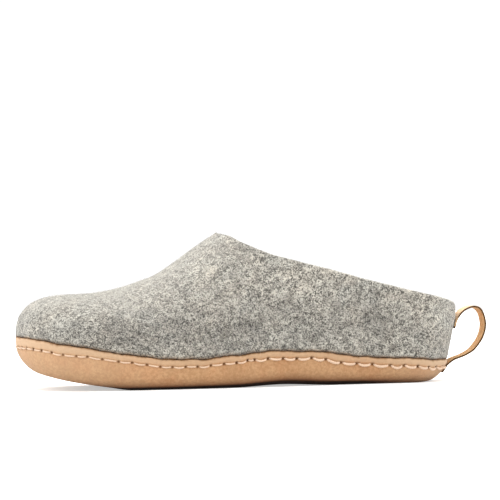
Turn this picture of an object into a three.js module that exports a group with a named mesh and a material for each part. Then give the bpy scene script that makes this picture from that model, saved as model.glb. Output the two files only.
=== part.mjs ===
// A backless house slipper for the left foot: a seamless wool felt shell that stands in a suede cup
// sole, with a felt insole inside and a leather pull loop sewn on the heel.
// Millimetres, +Z up, toe toward -X, heel toward +X; the outer side of the foot is toward -Y.
// The origin is on the floor under the middle of the heel.
import * as THREE from "three";

// Outside sizes of the whole shoe.
const LENGTH = 275; // heel back to toe tip, without the loop
const BALL_WIDTH = 106; // across the toe joints
const HEEL_WIDTH = 74; // across the heel
const HEEL_SEAT = 35; // heel back to the middle of the heel
const TOE_HEIGHT = 58; // top of the toe box
const THROAT_HEIGHT = 94; // top of the vamp, where it ends over the instep
const HEEL_HEIGHT = 50.3; // collar at the back of the heel
const RIM_HEIGHT = 21.3; // leather rim at the waist
const TOE_SPRING = 14.6; // lift of the sole at the tip
const WAIST_LIFT = 1.2; // lift of the sole between heel and forefoot
const EDGE_ROUND = 10; // rounding between the sole and its side
const SEAT_LEAN = 6.6; // how far the heel's back leans out above the sole's rounding

// Sheets that it is made of.
const FELT = 5; // wall of the shell
const FELT_IN_CUP = 4; // the same wall where the cup presses it
const LEATHER = 2.4; // cup sole
const FOOTBED = 5; // insole
const GAP = 0.3; // clearance between two pieces
const PUFF = 0.7; // the wall bulges this much over the rim
const LIP = 0.4 * FELT; // height of the rounding of the collar's edge

// Pull loop.
const LOOP_WIDTH = 13;
const LOOP_THICK = 1.2;
const LOOP_REACH = 18.8; // behind the heel
const LOOP_TOP = 37.2; // where it leaves the wall
const LOOP_FOOT = 10.2; // where it meets the cup
const LOOP_TAB = 4.3; // length sewn down at each end

// The outline on the floor plan. at: share of LENGTH from the heel back; out to each side as a share
// of the local width, which goes from HEEL_WIDTH to BALL_WIDTH.
const WIDEST_SHARE = 0.67;
const OUTLINE = [
  { at: 0.2, lateral: 0.503, medial: 0.487 },
  { at: 0.28, lateral: 0.4925, medial: 0.446 },
  { at: 0.36, lateral: 0.485, medial: 0.4065 },
  { at: 0.44, lateral: 0.486, medial: 0.387 },
  { at: 0.52, lateral: 0.495, medial: 0.395 },
  { at: 0.6, lateral: 0.502, medial: 0.426 },
  { at: 0.67, lateral: 0.505, medial: 0.462 },
  { at: 0.74, lateral: 0.5, medial: 0.49 },
  { at: 0.8, lateral: 0.489, medial: 0.494 },
  { at: 0.85, lateral: 0.466, medial: 0.481 },
  { at: 0.9, lateral: 0.427, medial: 0.449 },
  { at: 0.94, lateral: 0.356, medial: 0.394 },
  { at: 0.97, lateral: 0.258, medial: 0.314 },
  { at: 0.99, lateral: 0.128, medial: 0.209 },
];
const TIP_OFFSET = 0.066; // the tip, toward the big toe, as a share of BALL_WIDTH

// Lift of the sole: spring as a share of TOE_SPRING, waist of WAIST_LIFT.
const SOLE = [
  { at: 0, spring: 0, waist: 0 },
  { at: 0.3, spring: 0, waist: 0 },
  { at: 0.42, spring: 0, waist: 1 },
  { at: 0.53, spring: 0, waist: 0 },
  { at: 0.75, spring: 0, waist: 0 },
  { at: 0.8, spring: 0.125, waist: 0 },
  { at: 0.85, spring: 0.27, waist: 0 },
  { at: 0.9, spring: 0.45, waist: 0 },
  { at: 0.95, spring: 0.69, waist: 0 },
  { at: 1, spring: 1, waist: 0 },
];

// The leather rim and the height where the wall is widest, as shares of RIM_HEIGHT.
const RIM = [
  { at: 0, lateral: 0.638, medial: 0.638, widest: 1.93 },
  { at: 0.017, lateral: 0.641, medial: 0.641, widest: 1.85 },
  { at: 0.037, lateral: 0.645, medial: 0.645, widest: 1.69 },
  { at: 0.064, lateral: 0.66, medial: 0.66, widest: 1.45 },
  { at: 0.127, lateral: 0.716, medial: 0.716, widest: 1.15 },
  { at: 0.19, lateral: 0.755, medial: 0.77, widest: 1.1 },
  { at: 0.24, lateral: 0.79, medial: 0.85, widest: 1.08 },
  { at: 0.3, lateral: 0.905, medial: 0.95, widest: 1.08 },
  { at: 0.36, lateral: 0.98, medial: 1.03, widest: 1.08 },
  { at: 0.44, lateral: 1.012, medial: 1.05, widest: 1.06 },
  { at: 0.5, lateral: 0.985, medial: 0.99, widest: 1.02 },
  { at: 0.55, lateral: 0.925, medial: 0.92, widest: 0.98 },
  { at: 0.6, lateral: 0.84, medial: 0.88, widest: 0.95 },
  { at: 0.65, lateral: 0.84, medial: 0.865, widest: 0.96 },
  { at: 0.7, lateral: 0.911, medial: 0.905, widest: 0.99 },
  { at: 0.75, lateral: 1.01, medial: 1, widest: 1.07 },
  { at: 0.8, lateral: 1.136, medial: 1.13, widest: 1.17 },
  { at: 0.85, lateral: 1.235, medial: 1.24, widest: 1.27 },
  { at: 0.9, lateral: 1.324, medial: 1.33, widest: 1.36 },
  { at: 0.95, lateral: 1.43, medial: 1.43, widest: 1.45 },
  { at: 1, lateral: 1.535, medial: 1.535, widest: 1.54 },
];

// The rounding of the sole's edge. inward and upward: shares of EDGE_ROUND; lean: share of SEAT_LEAN;
// bend: 2 is an ellipse, less is nearer to a straight bevel.
const EDGE = [
  { at: 0, inward: 1.12, upward: 1.2, lean: 1, bend: 1.85 },
  { at: 0.037, inward: 1.12, upward: 1.15, lean: 0.74, bend: 1.88 },
  { at: 0.127, inward: 1.1, upward: 1, lean: 0.2, bend: 1.95 },
  { at: 0.3, inward: 1, upward: 0.95, lean: 0.15, bend: 2 },
  { at: 0.65, inward: 1, upward: 0.95, lean: 0.12, bend: 2 },
  { at: 0.85, inward: 1.1, upward: 1.05, lean: 0.08, bend: 2 },
  { at: 1, inward: 1.2, upward: 1.2, lean: 0.05, bend: 2 },
];

// The ridge over the foot. crown: from TOE_HEIGHT (0) to THROAT_HEIGHT (1), and on as if the vamp were
// closed to the heel; ridge: toward the big toe, share of BALL_WIDTH; round: 2 is an ellipse, more is
// squarer.
const SECTIONS = [
  { at: 0.13, crown: 1.58, ridge: 0, round: 2 },
  { at: 0.2, crown: 1.57, ridge: -0.01, round: 2 },
  { at: 0.3, crown: 1.53, ridge: -0.015, round: 2 },
  { at: 0.4, crown: 1.42, ridge: -0.012, round: 1.98 },
  { at: 0.45, crown: 1.33, ridge: -0.008, round: 1.95 },
  { at: 0.5, crown: 1.23, ridge: -0.003, round: 1.93 },
  { at: 0.53, crown: 1.13, ridge: 0, round: 1.92 },
  { at: 0.547, crown: 1.028, ridge: 0.002, round: 1.92 },
  { at: 0.581, crown: 0.862, ridge: 0.006, round: 1.94 },
  { at: 0.618, crown: 0.662, ridge: 0.012, round: 1.98 },
  { at: 0.655, crown: 0.47, ridge: 0.018, round: 2.04 },
  { at: 0.692, crown: 0.303, ridge: 0.024, round: 2.1 },
  { at: 0.728, crown: 0.197, ridge: 0.029, round: 2.15 },
  { at: 0.765, crown: 0.105, ridge: 0.033, round: 2.22 },
  { at: 0.81, crown: 0.035, ridge: 0.037, round: 2.3 },
  { at: 0.87, crown: 0, ridge: 0.04, round: 2.38 },
  { at: 1, crown: 0, ridge: 0.066, round: 2.5 },
];
const TOE_SHARE = 0.87; // middle of the toe cap
const THROAT_SHARE = 0.547; // front end of the opening

// The collar: 0 is its height at the heel back, 1 at the throat.
const COLLAR = [
  { at: 0, up: 0 },
  { at: 0.04, up: 0.04 },
  { at: 0.112, up: 0.146 },
  { at: 0.184, up: 0.255 },
  { at: 0.256, up: 0.377 },
  { at: 0.328, up: 0.5 },
  { at: 0.401, up: 0.62 },
  { at: 0.437, up: 0.683 },
  { at: 0.472, up: 0.775 },
  { at: 0.508, up: 0.878 },
  { at: 0.525, up: 0.95 },
  { at: 0.547, up: 1.012 },
];

// The loop from its top to its foot. out: share of LOOP_REACH behind the heel; up: 0 at LOOP_FOOT, 1 at
// LOOP_TOP.
const LOOP = [
  { out: 0.14, up: 1.15 },
  { out: 0.29, up: 1.25 },
  { out: 0.45, up: 1.305 },
  { out: 0.62, up: 1.33 },
  { out: 0.8, up: 1.295 },
  { out: 0.904, up: 1.205 },
  { out: 0.965, up: 1.09 },
  { out: 1, up: 0.93 },
  { out: 0.979, up: 0.79 },
  { out: 0.926, up: 0.672 },
  { out: 0.845, up: 0.56 },
  { out: 0.72, up: 0.44 },
  { out: 0.57, up: 0.325 },
  { out: 0.4, up: 0.25 },
  { out: 0.22, up: 0.19 },
  { out: 0.03, up: 0.145 },
  { out: -0.13, up: 0.1 },
];

// A smooth curve through one column of a table: monotone between rows, flat between equal rows.
function curve(rows, key) {
  const last = rows.length - 1;
  const width = (i) => rows[i + 1].at - rows[i].at;
  const slope = (i) => (rows[i + 1][key] - rows[i][key]) / width(i);
  const lean = rows.map((row, i) => {
    if (i === 0 || i === last) return slope(Math.min(i, last - 1));
    const before = slope(i - 1);
    const after = slope(i);
    if (before * after <= 0) return 0;
    const a = 2 * width(i) + width(i - 1);
    const b = width(i) + 2 * width(i - 1);
    return (a + b) / (a / before + b / after);
  });
  return (at) => {
    const t = Math.min(Math.max(at, rows[0].at), rows[last].at);
    let i = 0;
    while (i < last - 1 && t > rows[i + 1].at) i++;
    const w = width(i);
    const q = (t - rows[i].at) / w;
    const p = 1 - q;
    return (
      rows[i][key] * (1 + 2 * q) * p * p +
      rows[i + 1][key] * q * q * (3 - 2 * q) +
      w * q * p * (lean[i] * p - lean[i + 1] * q)
    );
  };
}

const along = (at) => HEEL_SEAT - at * LENGTH;
const shareOf = (x) => (HEEL_SEAT - x) / LENGTH;

const spring = curve(SOLE, "spring");
const waist = curve(SOLE, "waist");
const soleLift = (x) =>
  TOE_SPRING * spring(shareOf(x)) + WAIST_LIFT * waist(shareOf(x));
const rimOf = {
  lateral: curve(RIM, "lateral"),
  medial: curve(RIM, "medial"),
};
const widestOf = curve(RIM, "widest");
const inwardOf = curve(EDGE, "inward");
const upwardOf = curve(EDGE, "upward");
const leanOf = curve(EDGE, "lean");
const bendOf = curve(EDGE, "bend");
const crownOf = curve(SECTIONS, "crown");
const ridgeOf = curve(SECTIONS, "ridge");
const roundOf = curve(SECTIONS, "round");
const collarOf = curve(COLLAR, "up");
const crownHeight = (at) =>
  TOE_HEIGHT + (THROAT_HEIGHT - TOE_HEIGHT) * crownOf(at);
const collarHeight = (at) =>
  HEEL_HEIGHT - LIP + (THROAT_HEIGHT - HEEL_HEIGHT + LIP) * collarOf(at);

// Outline: tip, outer side to the heel, round the heel, inner side to the tip.
const SEAT_AT = HEEL_SEAT / LENGTH;
function localWidth(at) {
  const q = Math.min(
    Math.max((at - SEAT_AT) / (WIDEST_SHARE - SEAT_AT), 0),
    1,
  );
  return HEEL_WIDTH + (BALL_WIDTH - HEEL_WIDTH) * q * q * (3 - 2 * q);
}
const HEEL_TURNS = [-90, -67.5, -45, -22.5, 0, 22.5, 45, 67.5, 90];
const outlinePoints = [
  new THREE.Vector3(along(1), TIP_OFFSET * BALL_WIDTH, 0),
  ...OUTLINE.map(
    (row) =>
      new THREE.Vector3(along(row.at), -row.lateral * localWidth(row.at), 0),
  ).reverse(),
  ...HEEL_TURNS.map((turn) => {
    const a = THREE.MathUtils.degToRad(turn);
    return new THREE.Vector3(
      HEEL_SEAT * Math.cos(a),
      (HEEL_WIDTH / 2) * Math.sin(a),
      0,
    );
  }),
  ...OUTLINE.map(
    (row) =>
      new THREE.Vector3(along(row.at), row.medial * localWidth(row.at), 0),
  ),
];
const OUTLINE_STEPS = 720;
const outline = new THREE.CatmullRomCurve3(
  outlinePoints,
  true,
  "centripetal",
).getPoints(OUTLINE_STEPS);

// How far it is from a point of the plan to the outline, and how squarely that line meets it.
function reachFrom(x, y, dx, dy) {
  for (let i = 0; i < outline.length - 1; i++) {
    const p = outline[i];
    const q = outline[i + 1];
    const a = (p.x - x) * dy - (p.y - y) * dx;
    const b = (q.x - x) * dy - (q.y - y) * dx;
    if (a === b || a * b > 0) continue;
    const k = a / (a - b);
    const reach =
      (p.x + (q.x - p.x) * k - x) * dx + (p.y + (q.y - p.y) * k - y) * dy;
    if (reach <= 0) continue;
    const length = Math.hypot(q.x - p.x, q.y - p.y);
    const facing = Math.abs((q.x - p.x) * dy - (q.y - p.y) * dx) / length;
    return { reach, facing };
  }
  throw new Error("the outline is open");
}

// One upright cut through half of the shoe, from its middle out to the outline.
function cut(x, y, dx, dy, side, open) {
  const { reach, facing } = reachFrom(x, y, dx, dy);
  const at = shareOf(x + dx * reach);
  const middle = shareOf(x);
  const step = 0.004;
  const slope =
    (crownHeight(middle + step) - crownHeight(middle - step)) /
    (2 * step * LENGTH);
  const sole = soleLift(x + dx * reach);
  const widest = RIM_HEIGHT * widestOf(at);
  const upward = EDGE_ROUND * upwardOf(at);
  const lean = SEAT_LEAN * leanOf(at);
  return {
    x, y, dx, dy, side, open, reach, facing, at, sole, widest, upward, lean,
    inward: EDGE_ROUND * inwardOf(at),
    bend: bendOf(at),
    rim: RIM_HEIGHT * rimOf[side](at),
    crown: crownHeight(middle),
    steep: Math.hypot(1, slope),
    round: roundOf(at > TOE_SHARE ? at : middle),
    collar: collarHeight(at),
    leanRate: (1.057 * lean) / (widest - sole - upward),
  };
}

// Distance from the middle to the skin at a height, depth millimetres inside it.
function skin(c, z, depth) {
  const reach = c.reach - depth / c.facing;
  if (z >= c.widest) {
    const height = c.crown - depth * c.steep - c.widest;
    const q = Math.min((z - c.widest) / height, 1);
    return reach * (1 - q ** c.round) ** (1 / c.round);
  }
  const t = (c.widest - z) / (c.widest - c.sole - c.upward);
  return reach - (1.06 * c.lean * t * t) / (t + 0.06);
}
const place = (c, r, z) => [c.x + c.dx * r, c.y + c.dy * r, z];

// The wall up to the crown, by angle: 0 where it is widest, a quarter turn at the crown.
function arch(c, angle, depth) {
  const k = 2 / c.round;
  return [
    (c.reach - depth / c.facing) * Math.max(Math.cos(angle), 0) ** k,
    c.widest +
      (c.crown - depth * c.steep - c.widest) * Math.sin(angle) ** k,
  ];
}

// The rounding of the sole's edge, by angle: 0 at the wall, a quarter turn at the sole.
function roundEdge(c, angle, depth) {
  const k = 2 / c.bend;
  const down = (c.upward - depth) * Math.sin(angle) ** k;
  const r =
    c.reach -
    depth / c.facing -
    c.lean -
    c.leanRate * down -
    (c.inward - depth) * (1 - Math.max(Math.cos(angle), 0) ** k);
  const drop = soleLift(c.x + c.dx * r) - c.sole;
  return [r, c.sole + c.upward - down + drop * (down / (c.upward - depth))];
}

// Evenly spaced points on a drawn line, ends kept.
function spread(line, count) {
  const lengths = [0];
  for (let i = 1; i < line.length; i++)
    lengths.push(
      lengths[i - 1] +
        Math.hypot(line[i][0] - line[i - 1][0], line[i][1] - line[i - 1][1]),
    );
  const total = lengths[line.length - 1];
  const points = [];
  for (let n = 0, i = 0; n < count; n++) {
    const want = (total * n) / (count - 1);
    while (i < line.length - 2 && lengths[i + 1] < want) i++;
    const k = (want - lengths[i]) / (lengths[i + 1] - lengths[i]);
    points.push([
      line[i][0] + (line[i + 1][0] - line[i][0]) * k,
      line[i][1] + (line[i + 1][1] - line[i][1]) * k,
    ]);
  }
  points[count - 1] = line[line.length - 1];
  return points;
}
const steps = (from, to, count) =>
  Array.from({ length: count }, (_, i) => from + ((to - from) * i) / (count - 1));

// The cuts, all the way round: outer side from the throat to the heel, round the heel, inner side to
// the toe, round the toe, outer side back to the throat.
const TOE_TURNS = 18;
const HEEL_STEPS = 16;
const VAMP_STEPS = 10;
const SIDE_STEPS = 13;
const QUARTER = Math.PI / 2;
const throatX = along(THROAT_SHARE);
const toeX = along(TOE_SHARE);
const vampCuts = steps(0, 1, VAMP_STEPS + 1).map((q) => [
  throatX + (toeX - throatX) * q,
  false,
]);
const sideCuts = steps(0, 1, SIDE_STEPS + 1)
  .slice(1)
  .map((q) => [throatX * (1 - q ** 1.9 * (0.55 + 0.45 * q)), true]);
const sideCut = (side) => ([x, open]) =>
  cut(x, BALL_WIDTH * ridgeOf(shareOf(x)), 0, side === "medial" ? 1 : -1, side, open);
const toeY = BALL_WIDTH * ridgeOf(shareOf(toeX));
const heelY = BALL_WIDTH * ridgeOf(shareOf(0));
const cuts = [
  sideCut("lateral")(vampCuts[0]),
  ...sideCuts.map(sideCut("lateral")),
  ...steps(-QUARTER, QUARTER, HEEL_STEPS + 1)
    .slice(1, -1)
    .map((a) =>
      cut(0, heelY, Math.cos(a), Math.sin(a), a < 0 ? "lateral" : "medial", true),
    ),
  ...sideCuts.map(sideCut("medial")).reverse(),
  sideCut("medial")(vampCuts[0]),
  ...vampCuts.slice(1).map(sideCut("medial")),
  ...steps(QUARTER, -QUARTER, TOE_TURNS + 1)
    .slice(1, -1)
    .map((a) =>
      cut(toeX, toeY, -Math.cos(a), Math.sin(a), a < 0 ? "lateral" : "medial", false),
    ),
  ...vampCuts.slice(1).map(sideCut("lateral")).reverse(),
];

// Triangles between two neighbouring rows of points, leaving out those that close to nothing.
const same = (a, b) =>
  Math.abs(a[0] - b[0]) + Math.abs(a[1] - b[1]) + Math.abs(a[2] - b[2]) < 1e-6;
function triangle(faces, a, b, c) {
  if (!same(a, b) && !same(b, c) && !same(c, a)) faces.push(...a, ...b, ...c);
}
function band(faces, here, next) {
  for (let j = 0; j + 1 < here.length; j++) {
    triangle(faces, here[j], next[j], next[j + 1]);
    triangle(faces, here[j], next[j + 1], here[j + 1]);
  }
}
function solid(name, faces, colour, roughness) {
  const geometry = new THREE.BufferGeometry();
  geometry.setAttribute(
    "position",
    new THREE.BufferAttribute(new Float32Array(faces), 3),
  );
  geometry.computeVertexNormals();
  const mesh = new THREE.Mesh(
    geometry,
    new THREE.MeshStandardMaterial({ color: colour, roughness, metalness: 0 }),
  );
  mesh.name = name;
  return mesh;
}

// Felt shell: each cut has its outer line, from the foot inside the cup up to the crown or the collar,
// and its inner line.
const IN_CUP = LEATHER + GAP;
const FOOT_TURN = THREE.MathUtils.degToRad(62);
function outerLine(c) {
  const rim = c.rim + GAP;
  const line = steps(FOOT_TURN, 0, 4).map((a) => roundEdge(c, a, IN_CUP));
  const top = line[3][1];
  for (const q of [0.5, 1]) {
    const z = top + (rim - top) * q;
    line.push([skin(c, z, IN_CUP), z]);
  }
  line.push([skin(c, rim, LEATHER * 0.25), rim]);
  const puff = (z) => {
    const h = (z - rim) / (2 * FELT);
    return PUFF * Math.sin(Math.PI * Math.min(Math.max(h, 0), 1) ** 0.6);
  };
  const start = rim + 0.16 * FELT;
  const wall = [];
  const bottom = Math.max(start, c.widest);
  if (start < c.widest)
    for (const z of steps(start, c.widest, 16).slice(0, -1))
      wall.push([skin(c, z, 0) + puff(z), z]);
  const from = angleAt(c, bottom);
  for (const a of steps(from, topAngle(c), 30)) {
    const [r, z] = arch(c, a, 0);
    wall.push([r + (c.open || a < QUARTER - 1e-9 ? puff(z) : 0), z]);
  }
  return [...line, ...spread(wall, 12)];
}
function angleAt(c, z) {
  const q = Math.min(
    Math.max((z - c.widest) / (c.crown - c.widest), 0),
    1,
  );
  return Math.asin(q ** (c.round / 2));
}
const topAngle = (c) => (c.open ? angleAt(c, c.collar) : QUARTER);
const PRESSED = LEATHER + GAP + FELT_IN_CUP;
function innerDepth(c, z) {
  const q = Math.min(Math.max((z - c.rim + 2) / (2.5 * FELT), 0), 1);
  return PRESSED + (FELT - PRESSED) * q * q * (3 - 2 * q);
}
function innerLine(c) {
  const line = steps(FOOT_TURN, 0, 6).map((a) => roundEdge(c, a, PRESSED));
  const top = line[5][1];
  for (const z of steps(top, c.widest, 14).slice(1, -1))
    line.push([skin(c, z, innerDepth(c, z)), z]);
  for (const a of steps(0, topAngle(c), 30)) {
    const z = arch(c, a, FELT)[1];
    line.push(arch(c, a, innerDepth(c, z)));
  }
  return spread(line, 15);
}
function buildUpper() {
  const outer = cuts.map((c) => outerLine(c).map(([r, z]) => place(c, r, z)));
  const inner = cuts.map((c) => innerLine(c).map(([r, z]) => place(c, r, z)));
  const faces = [];
  const count = cuts.length;
  for (let i = 0; i < count; i++) {
    const n = (i + 1) % count;
    band(faces, outer[i], outer[n]);
    band(faces, inner[n], inner[i]);
    band(faces, [inner[i][0], outer[i][0]], [inner[n][0], outer[n][0]]);
  }
  // The rounded edge of the collar, from the throat round the heel and back.
  const ends = 2 * SIDE_STEPS + HEEL_STEPS;
  const edge = [];
  for (let i = 0; i <= ends; i++) {
    const out = new THREE.Vector3(...outer[i].at(-1));
    const inside = new THREE.Vector3(...inner[i].at(-1));
    const before = i === 0 ? outer[i] : outer[i - 1];
    const after = i === ends ? outer[i] : outer[i + 1];
    const run = new THREE.Vector3(...after.at(-1)).sub(
      new THREE.Vector3(...before.at(-1)),
    );
    if (i === 0 || i === ends) run.set(0, -1, 0);
    const across = inside.clone().sub(out);
    const away = run.cross(across).normalize().multiplyScalar(LIP);
    edge.push(
      [0, 45, 90, 135, 180].map((degrees) => {
        const a = THREE.MathUtils.degToRad(degrees);
        if (degrees === 0) return outer[i].at(-1);
        if (degrees === 180) return inner[i].at(-1);
        return out
          .clone()
          .addScaledVector(across, (1 - Math.cos(a)) / 2)
          .addScaledVector(away, Math.sin(a))
          .toArray();
      }),
    );
  }
  for (let i = 0; i < ends; i++) band(faces, edge[i], edge[i + 1]);
  return solid("upper", faces, 0x8a8880, 0.95);
}

// Cup sole: each cut runs from the middle of the sole out, up the side, over the rim and back inside.
const RIM_BEVEL = 0.3 * LEATHER;
function floorRow(c, r, depth) {
  return [r, soleLift(c.x + c.dx * r) + depth];
}
function cupLine(c) {
  const under = roundEdge(c, QUARTER, 0)[0];
  const inside = roundEdge(c, QUARTER, LEATHER)[0];
  const foot = c.sole + c.upward;
  const wall = (depth, heights) => heights.map((z) => [skin(c, z, depth), z]);
  return [
    ...[0, 0.35, 0.7, 1].map((q) => floorRow(c, under * q, 0)),
    ...steps(QUARTER * 0.8, 0, 5).map((a) => roundEdge(c, a, 0)),
    ...wall(0, steps(foot, c.rim - RIM_BEVEL, 3).slice(1)),
    [skin(c, c.rim, RIM_BEVEL), c.rim],
    [skin(c, c.rim, LEATHER - RIM_BEVEL), c.rim],
    ...wall(LEATHER, steps(c.rim - RIM_BEVEL, foot, 3).slice(0, -1)),
    ...steps(0, QUARTER * 0.8, 5).map((a) => roundEdge(c, a, LEATHER)),
    ...[1, 0.7, 0.35, 0].map((q) => floorRow(c, inside * q, LEATHER)),
  ];
}

// Insole: it fills the floor inside the shell's foot.
function footbedLine(c) {
  const edge = roundEdge(c, FOOT_TURN, PRESSED)[0] - GAP / c.facing;
  const under = roundEdge(c, QUARTER, LEATHER)[0] - GAP;
  const low = LEATHER + GAP;
  return [
    ...[0, 0.35, 0.7, 1].map((q) => floorRow(c, under * q, low)),
    floorRow(c, edge, low + 0.35 * FOOTBED),
    floorRow(c, edge, low + 0.8 * FOOTBED),
    floorRow(c, edge - 0.25 * FOOTBED, low + FOOTBED),
    ...[0.7, 0.35, 0].map((q) => floorRow(c, under * q, low + FOOTBED)),
  ];
}
function closedBand(name, lineOf, colour, roughness) {
  const lines = cuts.map((c) => lineOf(c).map(([r, z]) => place(c, r, z)));
  const faces = [];
  lines.forEach((line, i) => band(faces, line, lines[(i + 1) % lines.length]));
  return solid(name, faces, colour, roughness);
}

// Pull loop: a flat strip along a line in the middle plane of the heel, its two ends curved to the heel.
function buildLoop() {
  const back = cut(0, heelY, 1, 0, "lateral", true);
  const off = GAP + LOOP_THICK / 2;
  const onSkin = (z) => {
    const low = z < back.sole + back.upward;
    const down = back.sole + back.upward - z;
    const q = Math.min(down / back.upward, 1);
    const r = low
      ? back.reach -
        back.lean -
        back.leanRate * down -
        back.inward * (1 - (1 - q ** back.bend) ** (1 / back.bend))
      : skin(back, z, 0);
    return r;
  };
  const offSkin = (z) => {
    const tilt = Math.atan2(onSkin(z + 0.2) - onSkin(z - 0.2), 0.4);
    return new THREE.Vector3(
      onSkin(z) + off * Math.cos(tilt),
      0,
      z - off * Math.sin(tilt),
    );
  };
  const top = steps(LOOP_TOP - LOOP_TAB, LOOP_TOP, 4).map(offSkin);
  const free = LOOP.map(
    (row) =>
      new THREE.Vector3(
        HEEL_SEAT + row.out * LOOP_REACH,
        0,
        LOOP_FOOT + row.up * (LOOP_TOP - LOOP_FOOT),
      ),
  );
  const foot = steps(LOOP_FOOT - 0.4, LOOP_FOOT - LOOP_TAB, 4).map(offSkin);
  const path = new THREE.CatmullRomCurve3(
    [...top, ...free, ...foot],
    false,
    "centripetal",
  );
  const PATH_STEPS = 40;
  const rows = steps(0, 1, PATH_STEPS + 1).map((t) => {
    const p = path.getPointAt(t);
    const way = path.getTangentAt(t);
    const out = new THREE.Vector3(way.z, 0, -way.x);
    const down = Math.max(0, 1 - (t * (1 - t)) / 0.12);
    const point = (y, h) => [
      p.x + out.x * h - (down * y * y) / HEEL_WIDTH,
      y,
      p.z + out.z * h,
    ];
    const w = LOOP_WIDTH / 2;
    const h = LOOP_THICK / 2;
    return [
      ...steps(-w, w, 5).map((y) => point(y, h)),
      ...steps(w, -w, 5).map((y) => point(y, -h)),
      point(-w, h),
    ];
  });
  const faces = [];
  for (let i = 0; i < PATH_STEPS; i++) band(faces, rows[i + 1], rows[i]);
  for (const [row, turned] of [
    [rows[0], true],
    [rows[PATH_STEPS], false],
  ])
    for (let j = 0; j < 4; j++) {
      const quad = [row[j], row[j + 1], row[8 - j], row[9 - j]];
      if (turned) quad.reverse();
      triangle(faces, quad[0], quad[1], quad[2]);
      triangle(faces, quad[0], quad[2], quad[3]);
    }
  return solid("pull_loop", faces, 0xb98a5f, 0.75);
}

const group = new THREE.Group();
group.add(
  buildUpper(),
  closedBand("footbed", footbedLine, 0x96948c, 0.95),
  closedBand("outsole", cupLine, 0xc79a6e, 0.8),
  buildLoop(),
);
export default group;
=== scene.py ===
import math

import bpy
import numpy as np
from mathutils import Matrix, Vector, noise


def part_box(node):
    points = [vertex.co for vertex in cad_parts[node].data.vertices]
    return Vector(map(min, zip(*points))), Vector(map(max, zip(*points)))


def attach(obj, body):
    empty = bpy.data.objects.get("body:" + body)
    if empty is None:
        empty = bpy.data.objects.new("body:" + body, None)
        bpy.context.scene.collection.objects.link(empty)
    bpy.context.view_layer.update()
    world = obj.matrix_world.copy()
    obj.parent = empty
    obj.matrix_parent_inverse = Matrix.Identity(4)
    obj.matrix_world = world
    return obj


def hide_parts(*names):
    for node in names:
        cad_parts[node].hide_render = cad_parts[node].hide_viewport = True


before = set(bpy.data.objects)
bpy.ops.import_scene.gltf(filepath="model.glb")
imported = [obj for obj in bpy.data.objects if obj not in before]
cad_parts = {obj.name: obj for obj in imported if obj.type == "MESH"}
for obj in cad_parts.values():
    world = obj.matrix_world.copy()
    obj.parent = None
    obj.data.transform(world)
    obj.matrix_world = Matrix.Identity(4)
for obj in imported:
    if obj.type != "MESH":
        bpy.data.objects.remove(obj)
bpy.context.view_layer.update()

# The camera stands on the little-toe side, almost level with the felt, slightly nearer to the toe than
# to the heel, and is rolled by one degree as in the photo.
DISTANCE = 1.1503
YAW = math.radians(7.616)
ROLL = math.radians(-0.966)
CAMERA_HEIGHT = 0.0515
AIM = Vector((-0.0942, 0, 0.0837))
LENS_MM = 132.88
SENSOR_MM = 36
NEAREST = 0.05

camera = bpy.data.objects.new("camera", bpy.data.cameras.new("camera"))
bpy.context.scene.collection.objects.link(camera)
bpy.context.scene.camera = camera
camera.data.lens = LENS_MM
camera.data.sensor_width = SENSOR_MM
camera.data.clip_start = NEAREST
stand = Vector((AIM.x - DISTANCE * math.sin(YAW), -DISTANCE * math.cos(YAW), CAMERA_HEIGHT))
ahead = (AIM - stand).normalized()
level = ahead.cross(Vector((0, 0, 1))).normalized()
above = level.cross(ahead)
right = level * math.cos(ROLL) + above * math.sin(ROLL)
up = above * math.cos(ROLL) - level * math.sin(ROLL)
camera.matrix_world = Matrix((
    (right.x, up.x, -ahead.x, stand.x),
    (right.y, up.y, -ahead.y, stand.y),
    (right.z, up.z, -ahead.z, stand.z),
    (0, 0, 0, 1),
))

# A white light tent on a white floor. Its sky brightens overhead, a little beyond the shoe, and toward
# the toe's and the heel's ends; the camera sees the floor with a little glow of its own.
SKY = 0.66
SKY_SEEN = 1.05
SKY_TOP = 3.25
SKY_TOP_WAY = (-0.05, 0.2, 0.97)
SKY_FALL = 2.4
SKY_ENDS = 0.58
FLOOR_SIZE = 12
FLOOR_TONE = (0.72, 0.72, 0.715, 1)
FLOOR_GLOW = 0.5
FLOOR_GLOW_TONE = (1, 0.99, 0.97, 1)


def new_material(name):
    material = bpy.data.materials.new(name)
    material.use_nodes = True
    return material, material.node_tree, material.node_tree.nodes["Principled BSDF"]


def arithmetic(tree, operation, *values):
    """A node that works with numbers or with the outputs of other nodes."""
    node = tree.nodes.new("ShaderNodeMath")
    node.operation = operation
    for place, value in enumerate(values):
        if isinstance(value, (int, float)):
            node.inputs[place].default_value = value
        else:
            tree.links.new(value, node.inputs[place])
    return node.outputs[0]


def times(tree, a, b):
    return arithmetic(tree, "MULTIPLY", a, b)


bpy.context.scene.view_settings.view_transform = "Standard"
world = bpy.data.worlds.new("white_tent")
bpy.context.scene.world = world
world.use_nodes = True
tent = world.node_tree
sky_way = tent.nodes.new("ShaderNodeTexCoord").outputs["Generated"]
toward = tent.nodes.new("ShaderNodeVectorMath")
toward.operation = "DOT_PRODUCT"
toward.inputs[1].default_value = Vector(SKY_TOP_WAY).normalized()
tent.links.new(sky_way, toward.inputs[0])
fall = arithmetic(tent, "POWER", arithmetic(tent, "MAXIMUM", toward.outputs["Value"], 0), SKY_FALL)
sky_parts = tent.nodes.new("ShaderNodeSeparateXYZ")
tent.links.new(sky_way, sky_parts.inputs[0])
endwise = times(tent, sky_parts.outputs["X"], sky_parts.outputs["X"])
round_about = arithmetic(tent, "MULTIPLY_ADD", endwise, SKY_ENDS, SKY)
strength = arithmetic(tent, "MULTIPLY_ADD", fall, SKY_TOP, round_about)
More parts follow.
